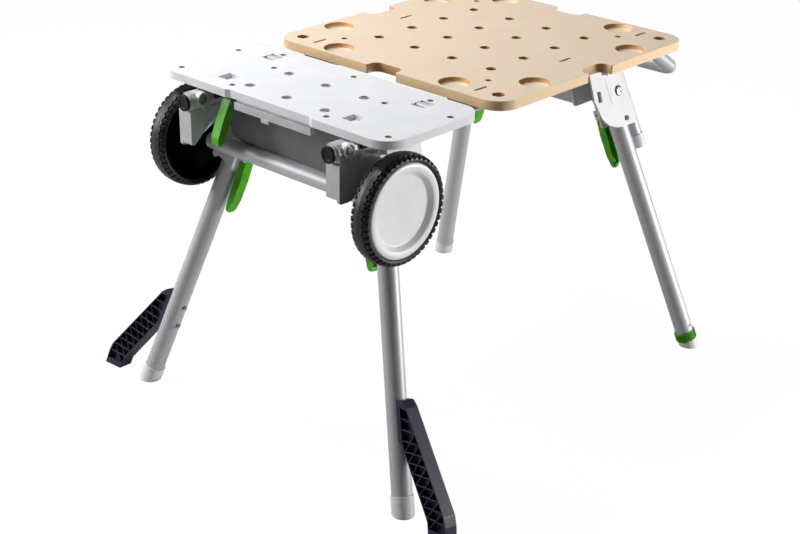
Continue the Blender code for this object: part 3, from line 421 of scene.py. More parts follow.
def turned(profile, sides, place):
    # a profile of (radius, height) turned about Z, closed on the axis, then placed;
    # each point keeps its place on the lathe for the material
    bm = bmesh.new()
    keep = bm.verts.layers.float_vector.new("local_place")
    rings = []
    for radius, height in profile:
        count = 1 if radius < 1e-7 else sides
        ring = []
        for k in range(count):
            a = 2 * math.pi * k / sides
            vert = bm.verts.new((radius * math.cos(a), radius * math.sin(a), height))
            vert[keep] = vert.co
            ring.append(vert)
        rings.append(ring)
    loop = rings if len(rings[0]) == 1 else rings + [rings[0]]
    for one, two in zip(loop[:-1], loop[1:]):
        for k in range(sides):
            m = (k + 1) % sides
            face = []
            for ring, i in ((one, k), (one, m), (two, m), (two, k)):
                if ring[i % len(ring)] not in face:
                    face.append(ring[i % len(ring)])
            if len(face) > 2:
                bm.faces.new(face)
    bm.transform(place)
    bmesh.ops.recalc_face_normals(bm, faces=bm.faces)
    return smooth(as_mesh(bm, "turned"))


def eased(points, radius, steps=4):
    # rounds the inner corners of a turned profile
    result = [points[0]]
    for i in range(1, len(points) - 1):
        here = Vector(points[i])
        back = Vector(points[i - 1]) - here
        ahead = Vector(points[i + 1]) - here
        reach = min(radius, back.length * 0.45, ahead.length * 0.45)
        start = here + back.normalized() * reach
        end = here + ahead.normalized() * reach
        for k in range(steps + 1):
            t = k / steps
            result.append(tuple(start * (1 - t) ** 2 + here * 2 * t * (1 - t) + end * t ** 2))
    result.append(points[-1])
    return result


LOCAL_BLACK = material("black_plug", (16, 16, 17), (10, 10, 11), rough=0.5, patch=90, grain=2600,
                       rise=0.00004, spread=0.10, local=True, gloss=0.25)
shape = eased([(0, 0.0046), (0.0085, 0.0050), (0.0100, 0.0060), (0.0155, 0.0060), (0.0155, 0.0),
               (0.0117, 0.0), (0.0117, -0.0150), (0, -0.0150)], 0.0016)
for hand, side in HANDS:
    place = at(side * TUBE_X, TUBE_FRONT_Y - GAP, TUBE_Z)
    plug = turned(shape, 36, place @ Matrix.Rotation(math.radians(90), 4, "X"))
    piece("end_plug_" + hand, plug, LOCAL_BLACK, "frame", "black_plastic", "tube_end_cap_" + hand)


# Saddles: black moulded blocks screwed under board and platform, each with a half
# round bed that sits on the chassis tube. Their edges are softly rounded.

def merged(node):
    # a copy of a solid with its triangles merged to whole faces
    bm = bmesh.new()
    bm.from_mesh(frame["nodes"][node].data)
    bmesh.ops.remove_doubles(bm, verts=bm.verts, dist=0.00002)
    bmesh.ops.dissolve_limit(bm, angle_limit=math.radians(0.6), verts=bm.verts, edges=bm.edges)
    return as_mesh(bm, node + "_dressed")


def rounded_edges(mesh, width, steps=2, angle=28):
    smooth(mesh, 40)
    holder = new_object("making", mesh)
    ease = holder.modifiers.new("ease", "BEVEL")
    ease.width = width
    ease.segments = steps
    ease.limit_method = "ANGLE"
    ease.angle_limit = math.radians(angle)
    ease.use_clamp_overlap = True
    flat = holder.modifiers.new("flat", "WEIGHTED_NORMAL")
    flat.keep_sharp = False
    shape = evaluated(holder)
    shape.shade_smooth()
    return shape


def dressed(node, width):
    return rounded_edges(merged(node), width)


BLACK = material("black_moulding", (24, 24, 26), (16, 16, 18), rough=0.5, patch=60, grain=2600,
                 rise=0.00004, spread=0.10, edge=(60, 60, 62), gloss=0.25)
for hand, side in HANDS:
    for end in ("front", "rear"):
        for kind in ("board_saddle_", "platform_saddle_"):
            node = kind + end + "_" + hand
            piece(node + "_block", dressed(node, 0.0012), BLACK, "frame", "black_plastic", node)


# Work board: an 18 mm fibre board with routed clamp holes, corner holes, round
# pockets, guide slits and a hand notch in each edge; screwed down on the saddles.
# The cut walls are browner than the pale faces, and those inside the board carry painted shade.

BOARD_HALF = 0.290
BOARD_T = 0.018
BOARD_CORNER_R = 0.045
NOTCH_W = 0.072
NOTCH_D = 0.026
NOTCH_R = 0.016
NOTCH_MOUTH_R = 0.003
CLAMP_HOLE_R = 0.010
CLAMP_PITCH = 0.096
CORNER_HOLE_R = 0.012
CORNER_HOLE = BOARD_HALF - 0.040
COVE_ALONG = 0.148
COVE_EDGE = BOARD_HALF - 0.038
SLIT_X = 0.206
SLIT_PITCH = 0.247
SLIT_HALF_W = 0.00275
SLIT_HALF_L = 0.017
SLIT_R = 0.0026
BOARD_SCREW_X = 0.185
BOARD_SCREW_Y = 0.200
SCREW_SEAT_R = 0.0062
BOARD_SEAT_D = 0.004
CLEAR = 0.1
COVE = [(0, -0.0100), (0.0215, -0.0100), (0.0245, -0.0094), (0.0268, -0.0078), (0.0286, -0.0048),
        (0.0297, -0.0015), (0.0300, 0.0010), (0.0300, CLEAR), (0, CLEAR)]


def arcs(corners, steps):
    # corners as (x, y, radius) become a flat outline
    points = []
    count = len(corners)
    for i in range(count):
        here = Vector(corners[i][:2])
        radius = corners[i][2]
        if radius <= 0:
            points.append(here)
            continue
        back = (Vector(corners[i - 1][:2]) - here).normalized()
        ahead = (Vector(corners[(i + 1) % count][:2]) - here).normalized()
        half = back.angle(ahead) / 2
        middle = here + (back + ahead).normalized() * (radius / math.sin(half))
        start = here + back * (radius / math.tan(half)) - middle
        end = here + ahead * (radius / math.tan(half)) - middle
        for k in range(steps + 1):
            turn = Matrix.Rotation(-start.angle_signed(end) * k / steps, 2)
            points.append(middle + turn @ start)
    return points


def oblong(x, y, half_x, half_y, radius=0, steps=1):
    return arcs([(x - half_x, y - half_y, radius), (x + half_x, y - half_y, radius),
                 (x + half_x, y + half_y, radius), (x - half_x, y + half_y, radius)], steps)


def slab(outline, low, high):
    bm = bmesh.new()
    lower = [bm.verts.new((p[0], p[1], low)) for p in outline]
    upper = [bm.verts.new((p[0], p[1], high)) for p in outline]
    bm.faces.new(lower[::-1])
    bm.faces.new(upper)
    for i in range(len(outline)):
        j = (i + 1) % len(outline)
        bm.faces.new((lower[i], lower[j], upper[j], upper[i]))
    bmesh.ops.recalc_face_normals(bm, faces=bm.faces)
    return bm


def disc(radius, x, y, low, high, sides=32):
    outline = []
    for k in range(sides):
        a = 2 * math.pi * k / sides
        outline.append((x + radius * math.cos(a), y + radius * math.sin(a)))
    return slab(outline, low, high)


def joined(*meshes):
    whole = bmesh.new()
    for mesh in meshes:
        whole.from_mesh(mesh)
        bpy.data.meshes.remove(mesh)
    return as_mesh(whole, "joined")


def plain_mesh(*pieces):
    return joined(*[as_mesh(bm, "part") for bm in pieces])


def moved(mesh, place, mirrored=False):
    mesh.transform(place)
    if mirrored:
        mesh.flip_normals()
    return mesh


def routed(mesh, tools):
    # the blank with the tools' shapes taken out of it
    holder = new_object("blank", mesh)
    cutter = new_object("cutter", tools)
    step = holder.modifiers.new("cut", "BOOLEAN")
    step.operation = "DIFFERENCE"
    step.solver = "EXACT"
    step.object = cutter
    shape = evaluated(holder)
    bpy.data.objects.remove(cutter, do_unlink=True)
    bpy.data.meshes.remove(tools)
    return shape


def cut_away(tree, shape, tool):
    return add_node(tree, "GeometryNodeMeshBoolean", {"Mesh 1": shape, "Mesh 2": tool},
                    operation="DIFFERENCE", solver="EXACT").outputs["Mesh"]


def hole_grid_tree():
    # a grid of round holes drilled through whatever comes in
    tree, given, made = node_group(
        "hole_grid", "GeometryNodeTree",
        {"Blank": "Geometry", "Hole Radius": "Float", "Pitch": "Float", "Columns": "Int",
         "Rows": "Int", "Middle": "Vector", "Finish": "Material"}, {"Drilled": "Geometry"})
    sizes = {}
    for count, axis in (("Columns", "X"), ("Rows", "Y")):
        gaps = maths(tree, "SUBTRACT", given[count], 1)
        sizes["Size " + axis] = maths(tree, "MULTIPLY", gaps, given["Pitch"])
        sizes["Vertices " + axis] = given[count]
    grid = add_node(tree, "GeometryNodeMeshGrid", sizes)
    shift = add_node(tree, "GeometryNodeSetPosition", {
        "Geometry": grid.outputs["Mesh"], "Offset": given["Middle"]})
    drill = add_node(tree, "GeometryNodeMeshCylinder", {
        "Vertices": 32, "Depth": CLEAR, "Radius": given["Hole Radius"]})
    copies = add_node(tree, "GeometryNodeInstanceOnPoints", {
        "Points": shift.outputs["Geometry"], "Instance": drill.outputs["Mesh"]})
    real = add_node(tree, "GeometryNodeRealizeInstances", {
        "Geometry": copies.outputs["Instances"]})
    drilled = cut_away(tree, given["Blank"], real.outputs["Geometry"])
    return end_tree(tree, made, "Drilled", drilled, given["Finish"])


def parts(tree, vector):
    return add_node(tree, "ShaderNodeSeparateXYZ", {"Vector": vector}).outputs


def fibre_board():
    # pale pressed fibre faces, browner cut walls, with painted shade on the walls inside the board
    mat, tree = new_material("fibre_board")
    place = add_node(tree, "ShaderNodeTexCoord").outputs["Object"]
    marks = grain_marks(tree, place, 16, 1100)
    fibres = add_node(tree, "ShaderNodeTexNoise", {
        "Vector": place, "Scale": 420, "Detail": 6, "Distortion": 1.6}).outputs["Fac"]
    # face colour: patches, then darker single fibres
    pale = mixed(tree, marks["Patches"], tint(230, 209, 184), tint(237, 219, 196))
    fleck = in_range(tree, fibres, 0.60, 0.74, 0.0, 0.32)
    face = mixed(tree, fleck, pale, tint(188, 156, 116))
    # cut walls: thin layers of pressed fibre
    layers = add_node(tree, "ShaderNodeTexWave", {
        "Vector": place, "Scale": 90, "Distortion": 2.5, "Detail": 2},
        bands_direction="Z").outputs["Fac"]
    # the inside walls are painted darker than the outer edge, as shade in holes and pockets
    cut_inside_shaded = mixed(tree, layers, tint(198, 146, 82), tint(212, 164, 100))
    cut_outside = mixed(tree, layers, tint(228, 192, 142), tint(235, 204, 162))
    # how near the outer edge, by the larger of the two distances from the middle
    middle = add_node(tree, "ShaderNodeMapping", {"Vector": place, "Location": (0, -BOARD_Y, 0)})
    size = add_node(tree, "ShaderNodeVectorMath", {0: middle.outputs["Vector"]},
                    operation="ABSOLUTE")
    sides = parts(tree, size.outputs["Vector"])
    outer = in_range(tree, maths(tree, "MAXIMUM", sides["X"], sides["Y"]), 0.268, 0.282)
    # walls inside the board get painted shade, darker towards the bottom
    painted_wall_shade = in_range(tree, parts(tree, place)["Z"], BOARD_Z - 0.002, BOARD_Z - 0.015, 0.0, 0.5)
    shaded_inside_wall = mixed(tree, painted_wall_shade, cut_inside_shaded, tint(110, 68, 26))
    wall = mixed(tree, outer, shaded_inside_wall, cut_outside)
    # upright faces take the wall colour
    true = add_node(tree, "ShaderNodeNewGeometry").outputs["True Normal"]
    level = maths(tree, "ABSOLUTE", parts(tree, true)["Z"])
    whole = mixed(tree, in_range(tree, level, 0.85, 0.45), face, wall)
    roughness = in_range(tree, marks["Grain"], 0.0, 1.0, 0.48, 0.66)
    coat(tree, whole, roughness, marks["Height"], 0.00006)
    return mat


def notched_outline():
    # one edge with its notch, turned to the four sides
    deep = -BOARD_HALF + NOTCH_D
    edge = [(-BOARD_HALF, -BOARD_HALF, BOARD_CORNER_R), (-NOTCH_W / 2, -BOARD_HALF, NOTCH_MOUTH_R),
            (-NOTCH_W / 2, deep, NOTCH_R), (NOTCH_W / 2, deep, NOTCH_R),
            (NOTCH_W / 2, -BOARD_HALF, NOTCH_MOUTH_R)]
    corners = []
    for quarter in range(4):
        turn = Matrix.Rotation(quarter * math.pi / 2, 2)
        for x, y, radius in edge:
            p = turn @ Vector((x, y))
            corners.append((p.x, p.y, radius))
    return arcs(corners, 10)


FIBRE_BOARD = fibre_board()
HOLE_GRID = hole_grid_tree()
tools = []
coves = []
for side in (-1, 1):
    for end in (-1, 1):
        tools.append(disc(CORNER_HOLE_R, side * CORNER_HOLE, end * CORNER_HOLE, -CLEAR, CLEAR))
        for x, y in ((COVE_ALONG, COVE_EDGE), (COVE_EDGE, COVE_ALONG)):
            coves.append(turned(COVE, 64, Matrix.Translation((side * x, end * y, 0))))
        tools.append(disc(SCREW_SEAT_R, side * BOARD_SCREW_X, end * BOARD_SCREW_Y,
                          -BOARD_SEAT_D, CLEAR, 24))
    for row in (-1, 0, 1):
        slit = oblong(side * SLIT_X, row * SLIT_PITCH, SLIT_HALF_W, SLIT_HALF_L, SLIT_R, 4)
        tools.append(slab(slit, -CLEAR, CLEAR))
board = routed(plain_mesh(slab(notched_outline(), -BOARD_T, 0)), plain_mesh(*tools))
for cove in coves:
    board = routed(board, cove)
board = made_by(HOLE_GRID, board, hole_radius=CLAMP_HOLE_R, pitch=CLAMP_PITCH, columns=4, rows=4,
                middle=(0.0, 0.0, 0.0), finish=FIBRE_BOARD)
board = rounded_edges(moved(board, BOARD_TOP), 0.0013, 3)
piece("pierced_work_board", board, FIBRE_BOARD, "frame", "fibre_board", "work_board")


# Saw platform: a light grey powder coated plate with clamp holes, square pockets for
# the saw's feet and a shallow recess along the front; screwed to its own saddles.

PLATFORM_HALF = 0.290
PLATFORM_T = 0.015
PLATFORM_BACK = -0.334
PLATFORM_FRONT = -0.576
PLATFORM_CORNER_R = 0.042
RECESS_HALF = 0.111
RECESS_BASE_HALF = 0.101
RECESS_D = 0.005
RECESS_R = 0.005
POCKET_HALF = 0.015
POCKET_D = 0.009
FRONT_POCKET = (0.159, -0.522)
REAR_POCKET = (0.1916, -0.385)
SQUARED = 0.00005
PLATFORM_SEAT_D = 0.0035
PLATFORM_SCREWS = [(0.0, -0.361)]
for x, y in ((0.188, -0.361), (0.141, -0.428), (0.120, -0.549), (0.263, -0.547), (0.270, -0.401)):
    PLATFORM_SCREWS += [(x, y), (-x, y)]

PLATFORM_COAT = material("platform_powder_coat", (235, 236, 238), (230, 231, 234), rough=0.50,
                         patch=18, grain=1500, rise=0.00003, edge=(248, 248, 249), gloss=0.25)
front = [(PLATFORM_HALF, PLATFORM_FRONT, PLATFORM_CORNER_R),
         (RECESS_HALF, PLATFORM_FRONT, RECESS_R),
         (RECESS_BASE_HALF, PLATFORM_FRONT + RECESS_D, RECESS_R)]
outline = arcs([(-x, y, radius) for x, y, radius in front] + front[::-1]
               + [(PLATFORM_HALF, PLATFORM_BACK, PLATFORM_CORNER_R),
                  (-PLATFORM_HALF, PLATFORM_BACK, PLATFORM_CORNER_R)], 10)
tools = []
for side in (-1, 1):
    for x, y in (FRONT_POCKET, REAR_POCKET):
        pocket = oblong(side * x, y, POCKET_HALF, POCKET_HALF, 0.002, 3)
        tools.append(slab(pocket, -POCKET_D, CLEAR))
for x, y in PLATFORM_SCREWS:
    tools.append(disc(SCREW_SEAT_R, x, y, -PLATFORM_SEAT_D, CLEAR, 24))
plate = routed(plain_mesh(slab(outline, -PLATFORM_T, 0)), plain_mesh(*tools))
plate = made_by(HOLE_GRID, plate, hole_radius=CLAMP_HOLE_R, pitch=CLAMP_PITCH, columns=3, rows=2,
                middle=(0.0, -0.480, 0.0), finish=PLATFORM_COAT)
plate = rounded_edges(plate, 0.0012, 3)
# the rear pockets are squared out inside, where the catches draw back into the corners
x, y = REAR_POCKET
for side in (-1, 1):
    pocket = oblong(side * x, y, POCKET_HALF + SQUARED, POCKET_HALF + SQUARED)
    plate = routed(plate, plain_mesh(slab(pocket, -POCKET_D - SQUARED, CLEAR)))
piece("saw_platform_plate", moved(plate, BOARD_TOP), PLATFORM_COAT, "frame", "platform_grey",
      "saw_platform")


# Screws: zinc plated socket screws that hold board and platform down on the saddles,
# their heads sunk level in counterbores.

def screw_tree():
    # a round head with a six sided socket, set on points, facing each point's own way
    tree, given, made = node_group(
        "socket_screws", "GeometryNodeTree",
        {"Places": "Geometry", "Head Radius": "Float", "Head Height": "Float",
         "Socket Radius": "Float", "Finish": "Material"}, {"Screws": "Geometry"})
    height = given["Head Height"]
    head = add_node(tree, "GeometryNodeMeshCylinder", {
        "Vertices": 24, "Radius": given["Head Radius"], "Depth": height})
    key = add_node(tree, "GeometryNodeMeshCylinder", {
        "Vertices": 6, "Radius": given["Socket Radius"], "Depth": height})
    up = add_node(tree, "ShaderNodeCombineXYZ", {"Z": maths(tree, "MULTIPLY", height, 0.5)})
    lift = add_node(tree, "GeometryNodeTransform", {
        "Geometry": key.outputs["Mesh"], "Translation": up.outputs["Vector"]})
    turn = add_node(tree, "FunctionNodeAlignRotationToVector", {
        "Vector": recalled(tree, "facing", "FLOAT_VECTOR")}, axis="Z")
    copies = add_node(tree, "GeometryNodeInstanceOnPoints", {
        "Points": given["Places"], "Rotation": turn.outputs["Rotation"],
        "Instance": cut_away(tree, head.outputs["Mesh"], lift.outputs["Geometry"])})
    return end_tree(tree, made, "Screws", copies.outputs["Instances"], given["Finish"])


def set_screws(name, spots, finish, radius, height, socket, body="frame"):
    # spots are (place, facing) with the place at the middle of the head
    mesh = bpy.data.meshes.new("screw_places")
    mesh.from_pydata([place for place, way in spots], [], [])
    ways = mesh.attributes.new("facing", "FLOAT_VECTOR", "POINT")
    for i in range(len(spots)):
        ways.data[i].vector = spots[i][1]
    made = made_by(SCREWS, mesh, head_radius=radius, head_height=height, socket_radius=socket,
                   finish=finish)
    piece(name, smooth(rounded_edges(made, 0.0003, 1, 40), 40), finish, body, "zinc_steel")


SCREWS = screw_tree()
DULL_ZINC = material("dull_zinc", (126, 124, 122), (106, 104, 102), rough=0.48, patch=220,
                     grain=2400, rise=0.00001, metal=0.1, gloss=0.2)
spots = []
for side in (-1, 1):
    for end in (-1, 1):
        spot = BOARD_TOP @ Vector((side * BOARD_SCREW_X, end * BOARD_SCREW_Y, -0.0025))
        spots.append((spot, (0, 0, 1)))
set_screws("board_screws", spots, DULL_ZINC, radius=0.0048, height=0.0026, socket=0.0026)
spots = [(BOARD_TOP @ Vector((x, y, -0.0020)), (0, 0, 1)) for x, y in PLATFORM_SCREWS]
set_screws("platform_screws", spots, DULL_ZINC, radius=0.0056, height=0.0026, socket=0.0028)


# Catches: small grey moulded wedges in the rear foot pockets, which hold the saw's
# feet and draw back when the release lever is pulled.

def body_of(node):
    return frame["nodes"][node]["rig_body"]


CATCH_GREY = material("catch_moulding", (206, 207, 209), (194, 195, 198), rough=0.5, patch=120,
                      grain=2400, rise=0.00004, spread=0.1, edge=(220, 220, 222))
for hand, side in HANDS:
    node = "catch_" + hand
    piece(node + "_wedge", dressed(node, 0.0006), CATCH_GREY, body_of(node), "foot_grey", node)


# Wheel brackets: light grey aluminium castings clamped round the ends of the tubes,
# with a broad bumper face in front and a fin behind it that shields the wheel.
# A hexagon bolt closes each clamp.

ALONG_X = Matrix.Rotation(math.radians(90), 4, "Y")
BOSS_OUT = 0.0215
BOSS_Y = -0.580
BOSS_Z = -0.031
BOSS_SEAT = -0.003

CAST = material("fettled_casting", (204, 205, 207), (192, 193, 196), rough=0.42, patch=40,
                grain=700, rise=0.00010, metal=0.25, spread=0.10, edge=(226, 226, 228))
ZINC = material("zinc_plate", (188, 188, 190), (164, 165, 168), rough=0.30, patch=220,
                grain=2400, rise=0.00001, metal=1.0)


def hexagon_bolt(place, size, height, washer):
    # head with a chamfered crown on a round washer, axis Z, seated at Z = 0
    head = plain_mesh(disc(size, 0, 0, 0.0010, height, 6), disc(washer, 0, 0, 0, 0.0011, 28))
    return rounded_edges(moved(head, place), 0.0004, 2, 40)


bolts = []
shape = eased([(0, -0.012), (0.0135, -0.012), (0.0135, 0.0), (0.0095, 0.0), (0.0090, BOSS_SEAT),
               (0, BOSS_SEAT)], 0.0010)
for hand, side in HANDS:
    node = "wheel_bracket_" + hand
    boss = at(side * TUBE_X + BOSS_OUT, BOSS_Y, BOSS_Z) @ ALONG_X
    casting = joined(dressed(node, 0.0012), turned(shape, 40, boss))
    piece(node + "_casting", casting, CAST, "frame", "cast_light_grey", node)
    seat = boss @ Matrix.Translation((0, 0, BOSS_SEAT))
    bolts.append(hexagon_bolt(seat, size=0.0058, height=0.0050, washer=0.0080))
piece("clamp_bolts", joined(*bolts), ZINC, "frame", "zinc_steel")


# Axle beam: a stout satin aluminium tube right across the front, with the steel wheel
# axle inside it.

AXLE_Y = -0.521
AXLE_Z = -0.1365
AXLE = at(0, AXLE_Y, AXLE_Z)
AXLE_R = 0.006
AXLE_HALF = 0.264
BEAM_HALF = 0.215
BEAM_R = 0.0160
BEAM_BORE_R = 0.0135
BUSH_R = 0.0132
BUSH_END = 0.175

shape = [(BEAM_BORE_R, -BEAM_HALF), (BEAM_R, -BEAM_HALF),
         (BEAM_R, BEAM_HALF), (BEAM_BORE_R, BEAM_HALF)]
piece("axle_beam_tube", turned(shape, 48, AXLE @ ALONG_X), ALUMINIUM, "frame", "satin_aluminium",
      "axle_beam")
LOCAL_ZINC = material("bright_axle_steel", (190, 190, 192), (172, 172, 175), rough=0.26, patch=200,
                      grain=1800, rise=0.00001, metal=1.0, local=True, stretch=(1, 1, 0.05))
half = [(0, AXLE_HALF), (AXLE_R, AXLE_HALF), (AXLE_R, BEAM_HALF), (BUSH_R, BEAM_HALF),
        (BUSH_R, BUSH_END), (AXLE_R, BUSH_END)]
shape = [(radius, -height) for radius, height in half] + half[::-1]
piece("axle_rod", turned(shape, 36, AXLE @ ALONG_X), LOCAL_ZINC, "frame", "zinc_steel",
      "wheel_axle")


# Wheels: light grey moulded rims with a plain dished cover, and black rubber tyres
# with a toothed band round the crown and a row of small blocks on each shoulder.

WHEEL_HALF_W = 0.020
WHEEL_X = 0.2625
RIM_BACK = 0.0075
BLOCKS = 48
SHOULDER_W = 0.0084
SHOULDER = ((0.0126, 0.0940, 0.0984), (0.0158, 0.0940, 0.0974), (0.0184, 0.0920, 0.0954),
            (0.0198, 0.0902, 0.0926))
BAND_EDGE_W = 0.0086
BAND_EDGE = ((0.0060, 0.0960, 0.0997), (0.0114, 0.0960, 0.0991))
# the rows of the tread as (side of the tyre, twist in blocks, width, sections)
TREAD_ROWS = ((1, 0.0, SHOULDER_W, SHOULDER), (-1, 0.5, SHOULDER_W, SHOULDER),
              (1, 0.5, BAND_EDGE_W, BAND_EDGE), (-1, 0.0, BAND_EDGE_W, BAND_EDGE))


def ring_of_copies_tree():
    # copies of one piece spread evenly round the X axis
    tree, given, made = node_group(
        "ring_of_copies", "GeometryNodeTree",
        {"One": "Geometry", "Count": "Int", "Finish": "Material"}, {"Ring": "Geometry"})
    whole = add_node(tree, "GeometryNodeGeometryToInstance", {"Geometry": given["One"]})
    copies = add_node(tree, "GeometryNodeDuplicateElements", {
        "Geometry": whole.outputs["Instances"], "Amount": given["Count"]},
        domain="INSTANCE").outputs
    step = maths(tree, "DIVIDE", 2 * math.pi, given["Count"])
    angle = maths(tree, "MULTIPLY", step, copies["Duplicate Index"])
    turn = add_node(tree, "ShaderNodeCombineXYZ", {"X": angle})
    swing = add_node(tree, "GeometryNodeRotateInstances", {
        "Instances": copies["Geometry"], "Rotation": turn.outputs["Vector"], "Local Space": False})
    return end_tree(tree, made, "Ring", swing.outputs["Instances"], given["Finish"])


def tread_block(width, sections):
    # one tapered block, as sections (across, foot radius, top radius)
    bm = bmesh.new()
    foot = width / 2 * 1.15
    top = width / 2 * 0.85
    ends = []
    for x, low, high in sections:
        around = ((-foot, low), (foot, low), (top, high), (-top, high))
        ends.append([bm.verts.new((x, y, radius)) for y, radius in around])
    for one, two in zip(ends[:-1], ends[1:]):
        for k in range(4):
            m = (k + 1) % 4
            bm.faces.new((one[k], one[m], two[m], two[k]))
    bm.faces.new(ends[0][::-1])
    bm.faces.new(ends[-1])
    bmesh.ops.recalc_face_normals(bm, faces=bm.faces)
    return plain_mesh(bm)


def black_behind(mat, level):
    # the back of a turned piece, below a height on the lathe, is moulded in dull black
    tree = mat.node_tree
    shader = tree.nodes["Principled BSDF"]
    front = shader.inputs["Base Color"].links[0].from_socket
    ahead = maths(tree, "GREATER_THAN", parts(tree, lathe_place(tree))["Z"], level)
    feed(tree, shader, {"Base Color": mixed(tree, ahead, tint(10, 10, 11), front),
                        "Specular IOR Level": maths(tree, "MULTIPLY", ahead, 0.5)})


RING = ring_of_copies_tree()
RUBBER = material("tyre_rubber_black", (30, 30, 31), (20, 20, 21), rough=0.44, patch=50,
                  grain=1300, rise=0.00008, spread=0.12, edge=(56, 56, 56))
RIM_GREY = material("rim_moulding", (245, 246, 247), (240, 241, 243), rough=0.38, patch=30,
                    grain=1700, rise=0.00003, local=True)
black_behind(RIM_GREY, RIM_BACK)
w = WHEEL_HALF_W
rim_shape = eased([(0, w - 0.0100), (0.0630, w - 0.0100), (0.0710, w - 0.0016),
                   (0.0785, w - 0.0004), (0.0840, w - 0.0014), (0.0860, w - 0.0052),
                   (0.0860, -w + 0.004), (0.0820, -w + 0.004), (0.0816, w - 0.0140),
                   (0.0170, w - 0.0150), (0.0170, -w + 0.0008), (0.0063, -w + 0.0008),
                   (0.0063, 0.0018), (0, 0.0018)], 0.0022)
flank = [(0.0864, w - 0.003), (0.0900, w - 0.0008), (0.0930, w - 0.003), (0.0956, 0.0140),
         (0.0962, 0.0110), (0.0993, 0.0090)]
tyre_shape = eased([(radius, -x) for radius, x in flank] + [(0.1002, 0.0)] + flank[::-1], 0.0008)
for hand, side in HANDS:
    body = body_of("wheel_rim_" + hand)
    hub = AXLE @ Matrix.Translation((side * WHEEL_X, 0, 0))
    rim = turned(rim_shape, 96, hub @ Matrix.Diagonal((side, 1, 1, 1)) @ ALONG_X)
    piece("dished_rim_" + hand, rim, RIM_GREY, body, "rim_grey", "wheel_rim_" + hand)
    casing = turned(tyre_shape, 96, hub @ ALONG_X)
    rows = []
    for row, twist, width, sections in TREAD_ROWS:
        turn = Matrix.Rotation(2 * math.pi / BLOCKS * twist, 4, "X")
        one = moved(tread_block(width, sections), Matrix.Diagonal((row, 1, 1, 1)) @ turn, row < 0)
        rows.append(made_by(RING, one, count=BLOCKS, finish=RUBBER))
    tread = moved(rounded_edges(joined(*rows), 0.0007, 2, 35), hub)
    piece("block_tyre_" + hand, joined(casing, tread), RUBBER, body, "tyre_rubber",
          "wheel_tyre_" + hand)


# Front web and rail: a grey folded sheet that joins the axle beam to the platform, and
# a light bar under the platform's front edge that stiffens it.

# this sheet's grey is painted darker than the cross member's, as the shade it stands in under the
# platform
SHADED_SHEET = material("coated_sheet", (110, 111, 113), (102, 103, 105), rough=0.44, patch=14,
                 grain=1400, rise=0.00003, metal=0.20, edge=(156, 157, 158))
piece("folded_front_web", dressed("front_web", 0.0007), SHADED_SHEET, "frame", "sheet_grey", "front_web")
tab = moved(plain_mesh(slab(oblong(-0.018, -0.5645, 0.010, 0.0015), -0.0445, -0.0370)), BOARD_TOP)
bar = joined(dressed("front_rail", 0.0007), rounded_edges(tab, 0.0007))
piece("front_stiffener", bar, CAST, "frame", "cast_light_grey", "front_rail")


# Release lever: a green moulded paddle on a steel pin, hung in a small sheet mount
# under the platform's left front.

PIN_R = 0.003
PIN_HALF = 0.0153

GREEN = material("green_moulding", (88, 176, 34), (77, 163, 28), rough=0.42, patch=60, grain=2000,
                 rise=0.00003, edge=(126, 200, 76), gloss=0.18)
piece("release_paddle", dressed("release_lever", 0.0010), GREEN, body_of("release_lever"),
      "green_plastic", "release_lever")
piece("release_hanger", dressed("release_mount", 0.0006), SHADED_SHEET, "frame", "sheet_grey",
      "release_mount")
shape = eased([(0, -PIN_HALF), (PIN_R, -PIN_HALF), (PIN_R, PIN_HALF), (0, PIN_HALF)], 0.0006)
piece("release_pivot_pin", turned(shape, 28, at(-0.122, -0.556, -0.030) @ ALONG_X), LOCAL_ZINC,
      "frame", "zinc_steel", "release_pin")


# Leg forks: pale cast brackets clamped under the tubes, two plates over each leg with
# a stop wall between them. A headed bolt is the hinge, and a screw closes the stop.

PIVOT_X = 0.178
FRONT_PIVOT_Y = -0.471
REAR_PIVOT_Y = 0.187
PIVOT_Z = -0.113
SPLAY = 0.3137
RAKE = 0.2185
TILT = math.atan2(SPLAY, 1.0)
LEAN = math.atan2(RAKE, math.sqrt(1 + SPLAY ** 2))
FORK = Matrix.Rotation(-TILT, 4, "Y")
LEG = FORK @ Matrix.Rotation(LEAN, 4, "X")
LEG_LEN = 0.557 * math.sqrt(1 + SPLAY ** 2 + RAKE ** 2)
FORK_OUT = 0.0275
CORNERS = (("front_left", -1, -1), ("front_right", 1, -1),
           ("rear_left", -1, 1), ("rear_right", 1, 1))
# stands a slab on edge: its outline goes to Y and Z, its thickness to X
ON_EDGE = Matrix(((0, 0, 1, 0), (1, 0, 0, 0), (0, 1, 0, 0), (0, 0, 0, 1)))
BEAD = [(FORK_OUT, -0.070, 0.0385), (FORK_OUT, -0.0375, 0.0334), (FORK_OUT, -0.0285, -0.0165),
        (FORK_OUT, -0.0215, -0.0245)]
PLATE_EDGE = [(-0.0815, 0.0000), (-0.0685, -0.0370), (-0.0640, -0.0445), (-0.0580, -0.0520),
              (-0.0515, -0.0575), (-0.0450, -0.0618), (-0.0350, -0.0667), (-0.0234, -0.0702),
              (-0.0100, -0.0722), (0.0040, -0.0732), (0.0700, -0.0732)]


def corner_frame(side, end):
    pivot = at(side * PIVOT_X, FRONT_PIVOT_Y if end < 0 else REAR_PIVOT_Y, PIVOT_Z)
    return pivot @ Matrix.Diagonal((side, end, 1, 1))


def plate_trim(place, mirrored):
    # what comes off the outer plate to give its slanted edge and broad round corner
    outline = [(-0.100, 0.0)] + PLATE_EDGE + [(0.070, -0.100), (-0.100, -0.100)]
    return moved(plain_mesh(slab(outline, 0.0220, 0.0320)), place @ ON_EDGE, mirrored)


